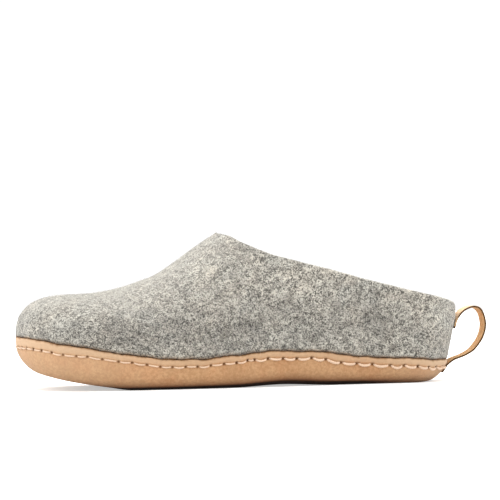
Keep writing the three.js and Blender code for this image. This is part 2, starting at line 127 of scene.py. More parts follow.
# Seen directly, the tent is burnt out to plain white.
seen = times(tent, tent.nodes.new("ShaderNodeLightPath").outputs["Is Camera Ray"], SKY_SEEN)
brightest = arithmetic(tent, "MAXIMUM", strength, seen)
tent.nodes["Background"].inputs["Color"].default_value = (1, 1, 1, 1)
tent.links.new(brightest, tent.nodes["Background"].inputs["Strength"])

floor_mesh = bpy.data.meshes.new("floor")
h = FLOOR_SIZE / 2
floor_mesh.from_pydata([(-h, -h, 0), (h, -h, 0), (h, h, 0), (-h, h, 0)], [], [(0, 1, 2, 3)])
floor = bpy.data.objects.new("floor", floor_mesh)
bpy.context.scene.collection.objects.link(floor)
floor_paint, floor_tree, floor_shader = new_material("floor_paint")
floor_shader.inputs["Base Color"].default_value = FLOOR_TONE
floor_shader.inputs["Roughness"].default_value = 0.9
floor_shader.inputs["Emission Color"].default_value = FLOOR_GLOW_TONE
floor_seen = floor_tree.nodes.new("ShaderNodeLightPath").outputs["Is Camera Ray"]
floor_tree.links.new(times(floor_tree, floor_seen, FLOOR_GLOW), floor_shader.inputs["Emission Strength"])
floor_mesh.materials.append(floor_paint)

# The last: the wooden foot form that gives felt, cup and insole their shape. Every size hangs on the
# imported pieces' boxes; MM is one millimetre of the shoe. The cup's box is a hair narrower than the ball
# width that its outline is drawn with, and its rim is highest at the toe tip.
BALL_IN_BOX = 1.0016
RIM_AT_TIP = 1.535
felt_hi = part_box("upper")[1]
cup_lo, cup_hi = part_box("outsole")
LENGTH = felt_hi.x - cup_lo.x
MM = LENGTH / 275
BALL_WIDTH = (cup_hi.y - cup_lo.y) * BALL_IN_BOX
HEEL_WIDTH = 74 * MM
HEEL_SEAT = felt_hi.x
TOE_HEIGHT = 58 * MM
THROAT_HEIGHT = 94 * MM
HEEL_HEIGHT = 50.3 * MM
RIM_HEIGHT = cup_hi.z / RIM_AT_TIP
TOE_SPRING = 14.6 * MM
WAIST_LIFT = 1.2 * MM
EDGE_ROUND = 10 * MM
SEAT_LEAN = 6.6 * MM
FELT = 5 * MM
LIP = 0.4 * FELT
WIDEST_SHARE = 0.67
TOE_SHARE = 0.87
THROAT_SHARE = 0.547
TIP_OFFSET = 0.066
# Half the share of the length over which the crown's slope is read
SLOPE_STEP = 0.004
# Below its widest height the wall leans in along a softened line, which meets the rounding of the sole
# at LEAN_RATE times its mean slope.
LEAN_SOFT = 0.06
LEAN_RATE = 1.057
# A rim cut by hand wavers a little.
RIM_WAVE = 0.2 * MM
# Where the rim dips on the outer side, beside the lap and along the little toe: at, reach, depth in mm
RIM_DIPS = ((0.525, 0.03, 0.9), (0.8, 0.085, 1.1))

# at: share of the length from the heel back; the sides as shares of the local width.
OUTLINE = np.array([
    (0.2, 0.503, 0.487), (0.28, 0.4925, 0.446), (0.36, 0.485, 0.4065), (0.44, 0.486, 0.387),
    (0.52, 0.495, 0.395), (0.6, 0.502, 0.426), (0.67, 0.505, 0.462), (0.74, 0.5, 0.49),
    (0.8, 0.489, 0.494), (0.85, 0.466, 0.481), (0.9, 0.427, 0.449), (0.94, 0.356, 0.394),
    (0.97, 0.258, 0.314), (0.99, 0.128, 0.209),
])
# at, toe spring, waist lift
SOLE = np.array([
    (0, 0, 0), (0.3, 0, 0), (0.42, 0, 1), (0.53, 0, 0), (0.75, 0, 0), (0.8, 0.125, 0),
    (0.85, 0.27, 0), (0.9, 0.45, 0), (0.95, 0.69, 0), (1, 1, 0),
])
# at, rim on the outer side, rim on the inner side, height where the wall is widest
RIM = np.array([
    (0, 0.638, 0.638, 1.93), (0.017, 0.641, 0.641, 1.85), (0.037, 0.645, 0.645, 1.69),
    (0.064, 0.66, 0.66, 1.45), (0.127, 0.716, 0.716, 1.15), (0.19, 0.755, 0.77, 1.1),
    (0.24, 0.79, 0.85, 1.08), (0.3, 0.905, 0.95, 1.08), (0.36, 0.98, 1.03, 1.08),
    (0.44, 1.012, 1.05, 1.06), (0.5, 0.985, 0.99, 1.02), (0.55, 0.925, 0.92, 0.98),
    (0.6, 0.84, 0.88, 0.95), (0.65, 0.84, 0.865, 0.96), (0.7, 0.911, 0.905, 0.99),
    (0.75, 1.01, 1, 1.07), (0.8, 1.136, 1.13, 1.17), (0.85, 1.235, 1.24, 1.27),
    (0.9, 1.324, 1.33, 1.36), (0.95, 1.43, 1.43, 1.45), (1, 1.535, 1.535, 1.54),
])
# at, rounding inward and upward, lean, bend of the rounding
EDGE = np.array([
    (0, 1.12, 1.2, 1, 1.85), (0.037, 1.12, 1.15, 0.74, 1.88), (0.127, 1.1, 1, 0.2, 1.95),
    (0.3, 1, 0.95, 0.15, 2), (0.65, 1, 0.95, 0.12, 2), (0.85, 1.1, 1.05, 0.08, 2),
    (1, 1.2, 1.2, 0.05, 2),
])
# at, crown, ridge toward the big toe, roundness of the section
SECTIONS = np.array([
    (0.13, 1.58, 0, 2), (0.2, 1.57, -0.01, 2), (0.3, 1.53, -0.015, 2), (0.4, 1.42, -0.012, 1.98),
    (0.45, 1.33, -0.008, 1.95), (0.5, 1.23, -0.003, 1.93), (0.53, 1.13, 0, 1.92),
    (0.547, 1.028, 0.002, 1.92), (0.581, 0.862, 0.006, 1.94), (0.618, 0.662, 0.012, 1.98),
    (0.655, 0.47, 0.018, 2.04), (0.692, 0.303, 0.024, 2.1), (0.728, 0.197, 0.029, 2.15),
    (0.765, 0.105, 0.033, 2.22), (0.81, 0.035, 0.037, 2.3), (0.87, 0, 0.04, 2.38),
    (1, 0, 0.066, 2.5),
])
# at, height of the collar
COLLAR = np.array([
    (0, -0.05), (0.012, -0.01), (0.04, 0.04), (0.112, 0.146), (0.184, 0.255), (0.256, 0.377), (0.328, 0.5),
    (0.401, 0.62), (0.437, 0.683), (0.472, 0.775), (0.508, 0.878), (0.525, 0.95), (0.547, 1.012),
])


def curve(rows, column):
    """A smooth curve through one column of a table: monotone between rows."""
    t = rows[:, 0]
    v = rows[:, column]
    w = np.diff(t)
    s = np.diff(v) / w
    m = np.zeros(len(t))
    m[0] = s[0]
    m[-1] = s[-1]
    for i in range(1, len(t) - 1):
        if s[i - 1] * s[i] > 0:
            a = 2 * w[i] + w[i - 1]
            b = w[i] + 2 * w[i - 1]
            m[i] = (a + b) / (a / s[i - 1] + b / s[i])

    def at(share):
        x = np.clip(share, t[0], t[-1])
        i = np.clip(np.searchsorted(t, x) - 1, 0, len(w) - 1)
        q = (x - t[i]) / w[i]
        p = 1 - q
        return (
            v[i] * (1 + 2 * q) * p * p
            + v[i + 1] * q * q * (3 - 2 * q)
            + w[i] * q * p * (m[i] * p - m[i + 1] * q)
        )

    return at


spring = curve(SOLE, 1)
waist = curve(SOLE, 2)
rim_lateral = curve(RIM, 1)
rim_medial = curve(RIM, 2)
widest_of = curve(RIM, 3)
inward_of = curve(EDGE, 1)
upward_of = curve(EDGE, 2)
lean_of = curve(EDGE, 3)
bend_of = curve(EDGE, 4)
crown_of = curve(SECTIONS, 1)
ridge_of = curve(SECTIONS, 2)
round_of = curve(SECTIONS, 3)
collar_of = curve(COLLAR, 1)


def along(share):
    return HEEL_SEAT - share * LENGTH


def share_of(x):
    return (HEEL_SEAT - x) / LENGTH


def sole_lift(x):
    return TOE_SPRING * spring(share_of(x)) + WAIST_LIFT * waist(share_of(x))


def crown_height(share):
    return TOE_HEIGHT + (THROAT_HEIGHT - TOE_HEIGHT) * crown_of(share)


def local_width(share):
    seat = HEEL_SEAT / LENGTH
    q = np.clip((share - seat) / (WIDEST_SHARE - seat), 0, 1)
    return HEEL_WIDTH + (BALL_WIDTH - HEEL_WIDTH) * q * q * (3 - 2 * q)


turns = np.radians(np.linspace(-90, 90, 9))
side_width = local_width(OUTLINE[:, 0])
outer_side = np.column_stack([along(OUTLINE[:, 0]), -OUTLINE[:, 1] * side_width])[::-1]
inner_side = np.column_stack([along(OUTLINE[:, 0]), OUTLINE[:, 2] * side_width])
heel_arc = np.column_stack([HEEL_SEAT * np.cos(turns), HEEL_WIDTH / 2 * np.sin(turns)])
tip = [[along(1), TIP_OFFSET * BALL_WIDTH]]
knots = np.concatenate([tip, outer_side, heel_arc, inner_side])


def closed_line(points, per_span):
    """A centripetal curve through a closed ring of points."""
    drawn = []
    count = len(points)
    for i in range(count):
        p = [points[(i + k) % count] for k in (-1, 0, 1, 2)]
        d = [max(np.linalg.norm(p[k + 1] - p[k]) ** 0.5, 1e-6) for k in range(3)]
        a = (p[1] - p[0]) / d[0] - (p[2] - p[0]) / (d[0] + d[1]) + (p[2] - p[1]) / d[1]
        b = (p[2] - p[1]) / d[1] - (p[3] - p[1]) / (d[1] + d[2]) + (p[3] - p[2]) / d[2]
        a = a * d[1]
        b = b * d[1]
        t = np.arange(per_span)[:, None] / per_span
        t2 = t * t
        t3 = t2 * t
        drawn.append(
            (2 * t3 - 3 * t2 + 1) * p[1] + (t3 - 2 * t2 + t) * a
            + (3 * t2 - 2 * t3) * p[2] + (t3 - t2) * b
        )
    line = np.concatenate(drawn)
    return np.concatenate([line, line[:1]])


outline = closed_line(knots, 60)


class Cuts:
    """Upright cuts through half of the shoe, from its middle out to the outline, all the way round."""

    def __init__(self, x, y, dx, dy, medial, is_open):
        self.x, self.y, self.dx, self.dy = x, y, dx, dy
        self.medial = medial
        self.is_open = is_open
        p = outline[:-1]
        q = outline[1:]
        step = q - p
        reach = np.zeros(len(x))
        facing = np.zeros(len(x))
        for i in range(len(x)):
            a = (p[:, 0] - x[i]) * dy[i] - (p[:, 1] - y[i]) * dx[i]
            b = (q[:, 0] - x[i]) * dy[i] - (q[:, 1] - y[i]) * dx[i]
            crossing = np.where((a * b <= 0) & (a != b))[0]
            k = a[crossing] / (a[crossing] - b[crossing])
            hit = p[crossing] + step[crossing] * k[:, None]
            r = (hit[:, 0] - x[i]) * dx[i] + (hit[:, 1] - y[i]) * dy[i]
            j = int(np.argmax(r))
            s = step[crossing[j]]
            reach[i] = r[j]
            facing[i] = abs(s[0] * dy[i] - s[1] * dx[i]) / np.hypot(*s)
        self.reach = reach
        self.facing = facing
        at = share_of(x + dx * reach)
        middle = share_of(x)
        rise = crown_height(middle + SLOPE_STEP) - crown_height(middle - SLOPE_STEP)
        slope = rise / (2 * SLOPE_STEP * LENGTH)
        self.at = at
        self.sole = sole_lift(x + dx * reach)
        self.widest = RIM_HEIGHT * widest_of(at)
        self.upward = EDGE_ROUND * upward_of(at)
        self.inward = EDGE_ROUND * inward_of(at)
        self.lean = SEAT_LEAN * lean_of(at)
        self.bend = bend_of(at)
        self.rim = RIM_HEIGHT * np.where(medial, rim_medial(at), rim_lateral(at))
        self.rim = self.rim + RIM_WAVE * (np.sin(61 * at + 2 * medial) + 0.7 * np.sin(143 * at + medial))
        dips = sum(depth * np.exp(-(((at - dip_at) / reach) ** 2)) for dip_at, reach, depth in RIM_DIPS)
        self.dip = np.where(medial, 0, MM) * dips
        self.rim = self.rim - self.dip
        self.crown = crown_height(middle)
        self.steep = np.hypot(1, slope)
        self.round = round_of(np.where(at > TOE_SHARE, at, middle))
        self.collar = HEEL_HEIGHT - LIP + (THROAT_HEIGHT - HEEL_HEIGHT + LIP) * collar_of(at)
        self.lean_rate = LEAN_RATE * self.lean / (self.widest - self.sole - self.upward)

    def skin(self, z, depth=0.0):
        """Distance from the middle to the skin at height z (cuts by rows), depth inside it."""
        reach = self.reach[:, None] - depth / self.facing[:, None]
        w = self.widest[:, None]
        height = self.crown[:, None] - depth * self.steep[:, None] - w
        n = self.round[:, None]
        q = np.clip((z - w) / height, 0, 1)
        t = (w - z) / (w - (self.sole + self.upward)[:, None])
        tucked = reach - (1 + LEAN_SOFT) * self.lean[:, None] * t * t / (np.abs(t) + LEAN_SOFT)
        return np.where(z >= w, reach * (1 - q**n) ** (1 / n), tucked)

    def arch(self, angle, depth=0.0):
        """The wall by angle: 0 where it is widest, a quarter turn at the crown."""
        k = 2 / self.round[:, None]
        w = self.widest[:, None]
        r = (self.reach[:, None] - depth / self.facing[:, None]) * np.clip(np.cos(angle), 0, 1) ** k
        z = w + (self.crown[:, None] - depth * self.steep[:, None] - w) * np.clip(np.sin(angle), 0, 1) ** k
        return r, z

    def angle_at(self, z):
        q = np.clip((z - self.widest) / (self.crown - self.widest), 0, 1)
        return np.arcsin(q ** (self.round / 2))

    def edge(self, angle, depth):
        """The rounding between side and sole: 0 at the side, a quarter turn at the sole."""
        k = 2 / self.bend[:, None]
        drop = self.upward[:, None] - depth
        down = drop * np.clip(np.sin(angle), 0, 1) ** k
        r = (
            self.reach[:, None]
            - depth / self.facing[:, None]
            - self.lean[:, None]
            - self.lean_rate[:, None] * down
            - (self.inward[:, None] - depth) * (1 - np.clip(np.cos(angle), 0, 1) ** k)
        )
        under = sole_lift(self.x[:, None] + self.dx[:, None] * r) - self.sole[:, None]
        return r, (self.sole + self.upward)[:, None] - down + under * down / drop

    def floor_row(self, r, depth):
        return r, sole_lift(self.x[:, None] + self.dx[:, None] * r) + depth

    def place(self, r, z):
        return np.stack([
            self.x[:, None] + self.dx[:, None] * r,
            self.y[:, None] + self.dy[:, None] * r,
            z + 0 * r,
        ], axis=2)


def all_round(vamp_steps, side_steps, heel_steps, toe_steps):
    """Cuts on the outer side from the throat to the heel, round it, and by the inner side to the toe."""
    throat_x = along(THROAT_SHARE)
    toe_x = along(TOE_SHARE)
    q = np.linspace(0, 1, side_steps + 1)[1:]
    side_x = throat_x * (1 - q**1.9 * (0.55 + 0.45 * q))
    side_x[-1] = 0
    vamp_x = throat_x + (toe_x - throat_x) * np.linspace(0, 1, vamp_steps + 1)[1:]
    heel = np.linspace(-math.pi / 2, math.pi / 2, heel_steps + 1)[1:-1]
    toe = np.linspace(math.pi / 2, -math.pi / 2, toe_steps + 1)[1:-1]
    x = []
    y = []
    dx = []
    dy = []
    medial = []
    is_open = []

    def add(cut_x, cut_y, way_x, way_y, inner, opened):
        n = len(cut_x)
        x.append(cut_x)
        y.append(cut_y)
        dx.append(way_x)
        dy.append(way_y)
        medial.append(np.full(n, False) | inner)
        is_open.append(np.full(n, opened))

    def straight(cut_x, way, inner, opened):
        zero = np.zeros(len(cut_x))
        add(cut_x, BALL_WIDTH * ridge_of(share_of(cut_x)), zero, zero + way, inner, opened)

    middle_y = BALL_WIDTH * ridge_of(share_of(np.array([0.0, toe_x])))
    front = np.array([throat_x])
    straight(front, -1, False, False)
    straight(side_x, -1, False, True)
    add(0 * heel, middle_y[0] + 0 * heel, np.cos(heel), np.sin(heel), heel >= 0, True)
    straight(side_x[::-1], 1, True, True)
    straight(front, 1, True, False)
    straight(vamp_x, 1, True, False)
    add(toe_x + 0 * toe, middle_y[1] + 0 * toe, -np.cos(toe), np.sin(toe), toe >= 0, False)
    straight(vamp_x[::-1], -1, False, False)
    cuts = Cuts(*(np.concatenate(part) for part in (x, y, dx, dy, medial, is_open)))
    cuts.collar_cuts = 2 * side_steps + heel_steps
    return cuts


# Felt shell: wet-felted in one piece over the last, 5 mm thick, its collar edge rounded by hand. It
# swells a little over the cup's rim and keeps a few soft hollows where the foot bends it.
FELT_IN_CUP = 4 * MM
LEATHER = 2.4 * MM
GAP = 0.3 * MM
RIM_RAGGED = 0.32 * MM
IN_CUP = LEATHER + GAP
PRESSED = IN_CUP + FELT_IN_CUP
FOOT_TURN = math.radians(62)
SWELL = 0.9 * MM
SWELL_REACH = 2.4 * FELT
# Painted highlight along the collar's rounded edge, whose upward faces catch the light.
EDGE_HIGHLIGHT = 0.32
# The step from the felt inside the cup out over its rim: heights over the rim and depths in mm
STEP_HEIGHTS = np.array([[-0.15, 0.0, 0.25]])
STEP_DEPTHS = np.array([[1.1, 0.5, 0.1]])
ABOVE_STEP = 0.6 * MM
# Waviness of hand-felted wool: height and size in mm, seed
FELT_WAVES = ((0.32, 19, 1), (0.16, 6, 2), (0.07, 2.4, 3))
SHELL_PALE = (0.712, 0.674, 0.586, 1)
SHELL_MIDDLE = (0.2, 0.187, 0.16, 1)
SHELL_DARK = (0.055, 0.05, 0.042, 1)
SHELL_BUMPS = 0.0008


def blend_rows(start, end, shares):
    return start[:, None] + (end - start)[:, None] * shares[None, :]


def spread(r, z, count):
    """Evenly spaced points on each cut's drawn line, ends kept."""
    run = np.concatenate(
        [np.zeros((len(r), 1)), np.cumsum(np.hypot(np.diff(r, axis=1), np.diff(z, axis=1)), axis=1)],
        axis=1,
    )
    share = np.linspace(0, 1, count)
    new_r = np.empty((len(r), count))
    new_z = np.empty((len(r), count))
    for i in range(len(r)):
        new_r[i] = np.interp(share * run[i, -1], run[i], r[i])
        new_z[i] = np.interp(share * run[i, -1], run[i], z[i])
    return new_r, new_z


def smooth_step(q):
    q = np.clip(q, 0, 1)
    return q * q * (3 - 2 * q)


def closed_mesh(name, grids, weld=1e-6):
    """One mesh from grids of points (rows by columns); a grid that closes on itself repeats its first."""
    points = []
    faces = []
    marks = []
    start = 0
    for grid, grid_marks in grids:
        n, m = grid.shape[:2]
        points.append(grid.reshape(-1, 3))
        marks.append(grid_marks.reshape(-1, grid_marks.shape[-1]))
        i = np.arange(n - 1)[:, None] * m + np.arange(m - 1)[None, :] + start
        faces.append(np.stack([i, i + m, i + m + 1, i + 1], axis=2).reshape(-1, 4))
        start += n * m
    points = np.concatenate(points)
    marks = np.concatenate(marks)
    faces = np.concatenate(faces)
    keys = np.round(points / weld).astype(np.int64)
    _, first, inverse = np.unique(keys, axis=0, return_index=True, return_inverse=True)
    inverse = inverse.reshape(-1)
    faces = inverse[faces]
    clean = []
    for face in faces.tolist():
        corners = [v for k, v in enumerate(face) if v != face[k - 1]]
        if len(set(corners)) >= 3:
            clean.append(corners)
    mesh = bpy.data.meshes.new(name)
    mesh.from_pydata(points[first].tolist(), [], clean)
    mesh.update()
    for k in range(marks.shape[1]):
        layer = mesh.attributes.new(f"mark{k}", "FLOAT", "POINT")
        layer.data.foreach_set("value", marks[first, k].astype(np.float32))
    mesh.shade_smooth()
    piece = bpy.data.objects.new(name, mesh)
    bpy.context.scene.collection.objects.link(piece)
    return piece


def ring(grid):
    """The grid with its first row repeated at the end, so that it closes."""
    return np.concatenate([grid, grid[:1]])


def positions(mesh):
    where = np.empty(len(mesh.vertices) * 3)
    mesh.vertices.foreach_get("co", where)
    return where.reshape(-1, 3)


def normals(mesh):
    out = np.empty(len(mesh.vertices) * 3)
    mesh.vertex_normals.foreach_get("vector", out)
    return out.reshape(-1, 3)


def lumps(where, size, seed):
    """Smooth uneven heights from -1 to 1, about size across."""
    offset = Vector((seed * 17.3, seed * -5.1, seed * 9.7))
    return np.array([noise.noise(Vector(p) / size + offset) for p in where.tolist()])


def unmarked(grid, count=1):
    return np.zeros(grid.shape[:2] + (count,))


cuts = all_round(vamp_steps=70, side_steps=96, heel_steps=110, toe_steps=130)
rows_foot = np.linspace(FOOT_TURN, 0, 8)[None, :]
foot_r, foot_z = cuts.edge(rows_foot, IN_CUP)
rim_points = cuts.place(cuts.skin(cuts.rim[:, None]), cuts.rim[:, None])[:, 0]
under_rim = cuts.rim + GAP + RIM_RAGGED * lumps(rim_points, 2.1 * MM, 21)
wall_z = blend_rows(foot_z[:, -1], under_rim, np.linspace(0, 1, 6)[1:])
step_z = under_rim[:, None] + STEP_HEIGHTS * MM
step_r = cuts.skin(step_z) - STEP_DEPTHS * MM
start_z = under_rim + ABOVE_STEP
low_z = blend_rows(start_z, np.maximum(start_z, cuts.widest), np.linspace(0, 1, 24)[:-1])
turn = blend_rows(
    cuts.angle_at(np.maximum(start_z, cuts.widest)),
    np.where(cuts.is_open, cuts.angle_at(cuts.collar), math.pi / 2),
    np.linspace(0, 1, 90),
)
arch_r, arch_z = cuts.arch(turn)
high_r = np.concatenate([cuts.skin(low_z), arch_r], axis=1)
high_z = np.concatenate([low_z, arch_z], axis=1)
swell = np.clip((high_z - under_rim[:, None]) / SWELL_REACH, 0, 1)
# No swelling at the toe tip and the heel back, where the felt is stretched over the last.
at_ends = smooth_step((cuts.at - 0.9) / 0.08) + smooth_step((0.09 - cuts.at) / 0.08)
swell_by = SWELL * (1 - at_ends)[:, None] * np.sin(math.pi * swell**0.5)
high_r = high_r + np.where(high_r > 1e-9, swell_by, 0)
high_r, high_z = spread(high_r, high_z, 60)
outer_r = np.concatenate([foot_r, cuts.skin(wall_z, IN_CUP), step_r, high_r], axis=1)
outer_z = np.concatenate([foot_z, wall_z, step_z, high_z], axis=1)


def inside_depth(z):
    return PRESSED + (FELT - PRESSED) * smooth_step((z - cuts.rim[:, None] + 2 * MM) / (2.5 * FELT))


in_foot_r, in_foot_z = cuts.edge(np.linspace(FOOT_TURN, 0, 6)[None, :], PRESSED)
in_low_z = blend_rows(in_foot_z[:, -1], cuts.widest, np.linspace(0, 1, 20)[1:-1])
in_turn = blend_rows(0 * cuts.at, turn[:, -1], np.linspace(0, 1, 60))
in_arch_z = cuts.arch(in_turn, FELT)[1]
in_arch_r, in_arch_z = cuts.arch(in_turn, inside_depth(in_arch_z))
inner_r = np.concatenate([in_foot_r, cuts.skin(in_low_z, inside_depth(in_low_z)), in_arch_r], axis=1)
inner_z = np.concatenate([in_foot_z, in_low_z, in_arch_z], axis=1)
inner_r, inner_z = spread(inner_r, inner_z, 44)
outer = cuts.place(outer_r, outer_z)
inner = cuts.place(inner_r, inner_z)
edge_count = cuts.collar_cuts + 1
top_out = outer[:edge_count, -1]
top_in = inner[:edge_count, -1]
run = np.zeros_like(top_out)
run[1:-1] = top_out[2:] - top_out[:-2]
run[0] = (0, -1, 0)
run[-1] = (0, -1, 0)
across = top_in - top_out
away = np.cross(run, across)
away = away / np.linalg.norm(away, axis=1)[:, None]
edge_rows = []
for degrees in np.linspace(0, 180, 11):
    a = math.radians(degrees)
    edge_rows.append(top_out + across * (1 - math.cos(a)) / 2 + away * LIP * math.sin(a))
collar_edge = np.stack(edge_rows, axis=1)
foot_strip = np.stack([inner[:, 0], outer[:, 0]], axis=1)
# Patches of darker and paler felt on the outer side, partly the wool's own uneven tone and partly painted
# light: the long darker band at mid-height is painted shade, and some pale patches high on the side and at
# the heel's back are painted light. Share of the length, height, reach along the shoe and up it in mm, how
# dark.
PATCHES_AND_PAINTED_LIGHT = [
    (0.57, 36, 92, 11, 0.2), (0.77, 30, 10, 6, 0.4), (0.8, 39, 7, 6, 0.22), (0.88, 34, 11, 4, 0.2),
    (0.65, 39, 10, 7, 0.36), (0.59, 49, 8, 6, 0.24), (0.69, 28, 9, 5, 0.2), (0.5, 37, 11, 5, 0.42),
    (0.44, 45, 8, 6, 0.38), (0.38, 45, 8, 6, 0.26), (0.35, 36, 8, 8, 0.22), (0.22, 42, 9, 8, 0.4),
    (0.195, 31, 6, 4, 0.3), (0.57, 25, 6, 5, 0.2), (0.63, 84, 9, 4, 0.16), (0.74, 30, 9, 6, 0.2),
    (0.61, 31, 14, 7, 0.24), (0.78, 40, 8, 6, 0.14), (0.545, 23, 9, 5, 0.2), (0.485, 34, 12, 5, 0.2),
    (0.373, 63, 5, 5, 0.2), (0.35, 28, 10, 5, 0.2), (0.2, 36, 10, 6, 0.2),
    (0.49, 83, 1.4, 1.2, 0.7), (0.475, 80, 1.2, 1, 0.6),
    (0.6, 70, 9, 7, -0.36), (0.53, 79, 6, 5, -0.25), (0.515, 56, 7, 6, -0.22), (0.37, 68, 14, 6, -0.3),
    (0.25, 64, 9, 6, -0.36), (0.09, 50, 10, 10, -0.5), (0.22, 26, 8, 4, -0.3), (0.97, 35, 5, 3, -0.25),
    (0.79, 48, 5, 4, -0.2), (0.7, 50, 6, 5, -0.25), (0.741, 46, 5, 4, -0.25), (0.345, 44, 6, 6, -0.2),
    (0.438, 37, 5, 4, -0.2), (0.085, 38, 8, 9, -0.25), (0.57, 68, 6, 5, -0.25), (0.52, 89, 7, 2, -0.4),
    (0.16, 61, 10, 3, -0.3),
]


def shell_marks(grid, touching, pale=0):
    """Darker (mark0) and paler (mark1) patches for a grid of the shell, partly wool tone and partly painted
    shade and painted light, with the given painted highlight (mark1) and the rim's brown with painted shade
    (mark2).
    """
    marks = unmarked(grid, 3)
    at = share_of(grid[:, :, 0])
    outer_side = smooth_step(-grid[:, :, 1] / (12 * MM))
    dark = 0
    for patch_at, height, reach, rise, depth in PATCHES_AND_PAINTED_LIGHT:
        off = ((at - patch_at) * LENGTH / (reach * MM)) ** 2
        off = off + ((grid[:, :, 2] - height * MM) / (rise * MM)) ** 2
        dark = dark + depth * outer_side * np.exp(-off)
    marks[:, :, 0] = np.maximum(dark, 0)
    marks[:, :, 1] = np.maximum(-dark, 0) + pale
    marks[:, :, 2] = touching
    return marks


row = np.arange(outer_r.shape[1])
first_step = foot_r.shape[1] + wall_z.shape[1]
# Brown with painted shade on the felt in the gap under the cup's rim and just above it: partly the leather's
# cut-edge brown, partly the shade that falls between felt and rim.
rim_gap_shade = np.where((row >= first_step - 2) & (row < first_step + 3), 1.0, 0.0)
rim_gap_shade = rim_gap_shade + 0.5 * (row == first_step + 3)
felt = closed_mesh("felt_shell", [
    (ring(outer), shell_marks(ring(outer), rim_gap_shade)),
    (ring(inner)[::-1], unmarked(ring(inner), 3)),
    (ring(foot_strip), unmarked(ring(foot_strip), 3)),
    (collar_edge, shell_marks(collar_edge, 0, EDGE_HIGHLIGHT)),
])
where = positions(felt.data)
facing_out = normals(felt.data)
above_rim = smooth_step((where[:, 2] - 0.9 * RIM_HEIGHT) / (6 * MM))
height = sum(high * MM * lumps(where, size * MM, seed) for high, size, seed in FELT_WAVES)
# Soft hollows, each from one point to another: share of the length, side (-1 outer, 1 inner), height
# in mm, and then the hollow's width and depth in mm.
HOLLOW_SIDE = 40 * MM
HOLLOWS = [
    ((0.70, -1, 52), (0.66, 1, 60), 13, 0.9),
    ((0.60, -1, 40), (0.73, -1, 30), 9, 0.6),
    ((0.52, -1, 60), (0.44, -1, 38), 11, 0.55),
    ((0.22, -1, 52), (0.30, -1, 34), 12, 0.5),
    ((0.90, -1, 44), (0.86, 1, 46), 15, 0.4),
    ((0.34, 1, 56), (0.42, 1, 36), 12, 0.55),
]
for (share_a, side_a, z_a), (share_b, side_b, z_b), width, depth in HOLLOWS:
    a = np.array([along(share_a), side_a * HOLLOW_SIDE, z_a * MM])
    b = np.array([along(share_b), side_b * HOLLOW_SIDE, z_b * MM])
    ab = b - a
    t = np.clip((where - a) @ ab / (ab @ ab), 0, 1)
    gap_to = np.linalg.norm(where - (a + t[:, None] * ab), axis=1)
    height = height - depth * MM * np.exp(-((gap_to / (width * MM)) ** 2))
moved = where + facing_out * (height * above_rim)[:, None]
felt.data.vertices.foreach_set("co", moved.ravel())
felt.data.update()

# The heather look, for shell and insole: pale and dark wool fibres matted together. Pale tufts are thin
# wandering lines on a dark ground; the colour drifts a little over some centimetres.
FIBRE_SHADE = (0.13, 0.125, 0.12, 1)
SPECK_BLACK = (0.03, 0.028, 0.027, 1)
WARM_WOOL = (1, 0.94, 0.9, 1)
COOL_WOOL = (0.91, 0.96, 1, 1)
# Painted light: the flat grey that the felt's upward faces are evened toward.
TOP_LIGHT_GREY = (0.34, 0.32, 0.272, 1)
# Multipliers for the felt's darker and paler patches: wool tone, painted shade and painted light.
DARK_PATCH_AND_SHADE = (0.4, 0.4, 0.41, 1)
PALE_PATCH_AND_LIGHT = (1.5, 1.49, 1.47, 1)
# Brown with painted shade, for the felt in the gap at the cup's rim.
GAP_SHADE_BROWN = (0.55, 0.36, 0.2, 1)


def new_look(name, tones):
    """A node group that makes a colour and a height out of the tones that a material gives it."""
    look = bpy.data.node_groups.new(name, "ShaderNodeTree")
    for tone in tones:
        look.interface.new_socket(tone, in_out="INPUT", socket_type="NodeSocketColor")
    look.interface.new_socket("Colour", in_out="OUTPUT", socket_type="NodeSocketColor")
    look.interface.new_socket("Height", in_out="OUTPUT", socket_type="NodeSocketFloat")
    given = look.nodes.new("NodeGroupInput").outputs
    made = look.nodes.new("NodeGroupOutput").inputs
    return look, given, made, look.nodes.new("ShaderNodeTexCoord").outputs["Object"]


def strands(tree, place, scale, warp, width, stretch):
    """Thin wandering lines: 1 on a strand, 0 beside it."""
    nodes = tree.nodes
    links = tree.links
    squeeze = nodes.new("ShaderNodeMapping")
    squeeze.inputs["Scale"].default_value = stretch
    links.new(place, squeeze.inputs["Vector"])
    wool = nodes.new("ShaderNodeTexNoise")
    wool.inputs["Scale"].default_value = scale
    wool.inputs["Detail"].default_value = 2
    wool.inputs["Roughness"].default_value = 0.6
    wool.inputs["Distortion"].default_value = warp
    links.new(squeeze.outputs["Vector"], wool.inputs["Vector"])
    off = arithmetic(tree, "ABSOLUTE", arithmetic(tree, "SUBTRACT", wool.outputs["Fac"], 0.5))
    line = nodes.new("ShaderNodeMapRange")
    line.inputs["From Min"].default_value = 0
    line.inputs["From Max"].default_value = width
    line.inputs["To Min"].default_value = 1
    line.inputs["To Max"].default_value = 0
    links.new(off, line.inputs["Value"])
    return line.outputs["Result"]


def cloud(tree, place, scale, detail, low, high):
    """Soft patches between 0 and 1."""
    nodes = tree.nodes
    spot = nodes.new("ShaderNodeTexNoise")
    spot.inputs["Scale"].default_value = scale
    spot.inputs["Detail"].default_value = detail
    spot.inputs["Roughness"].default_value = 0.6
    tree.links.new(place, spot.inputs["Vector"])
    limits = nodes.new("ShaderNodeMapRange")
    limits.inputs["From Min"].default_value = low
    limits.inputs["From Max"].default_value = high
    tree.links.new(spot.outputs["Fac"], limits.inputs["Value"])
    return limits.outputs["Result"]


def mixed(tree, share, a, b, kind="MIX"):
    node = tree.nodes.new("ShaderNodeMix")
    node.data_type = "RGBA"
    node.blend_type = kind
    for value, place in ((share, 0), (a, 6), (b, 7)):
        if isinstance(value, (int, float, tuple)):
            node.inputs[place].default_value = value
        else:
            tree.links.new(value, node.inputs[place])
    return node.outputs[2]


def plus(tree, a, b):
    return arithmetic(tree, "ADD", a, b)


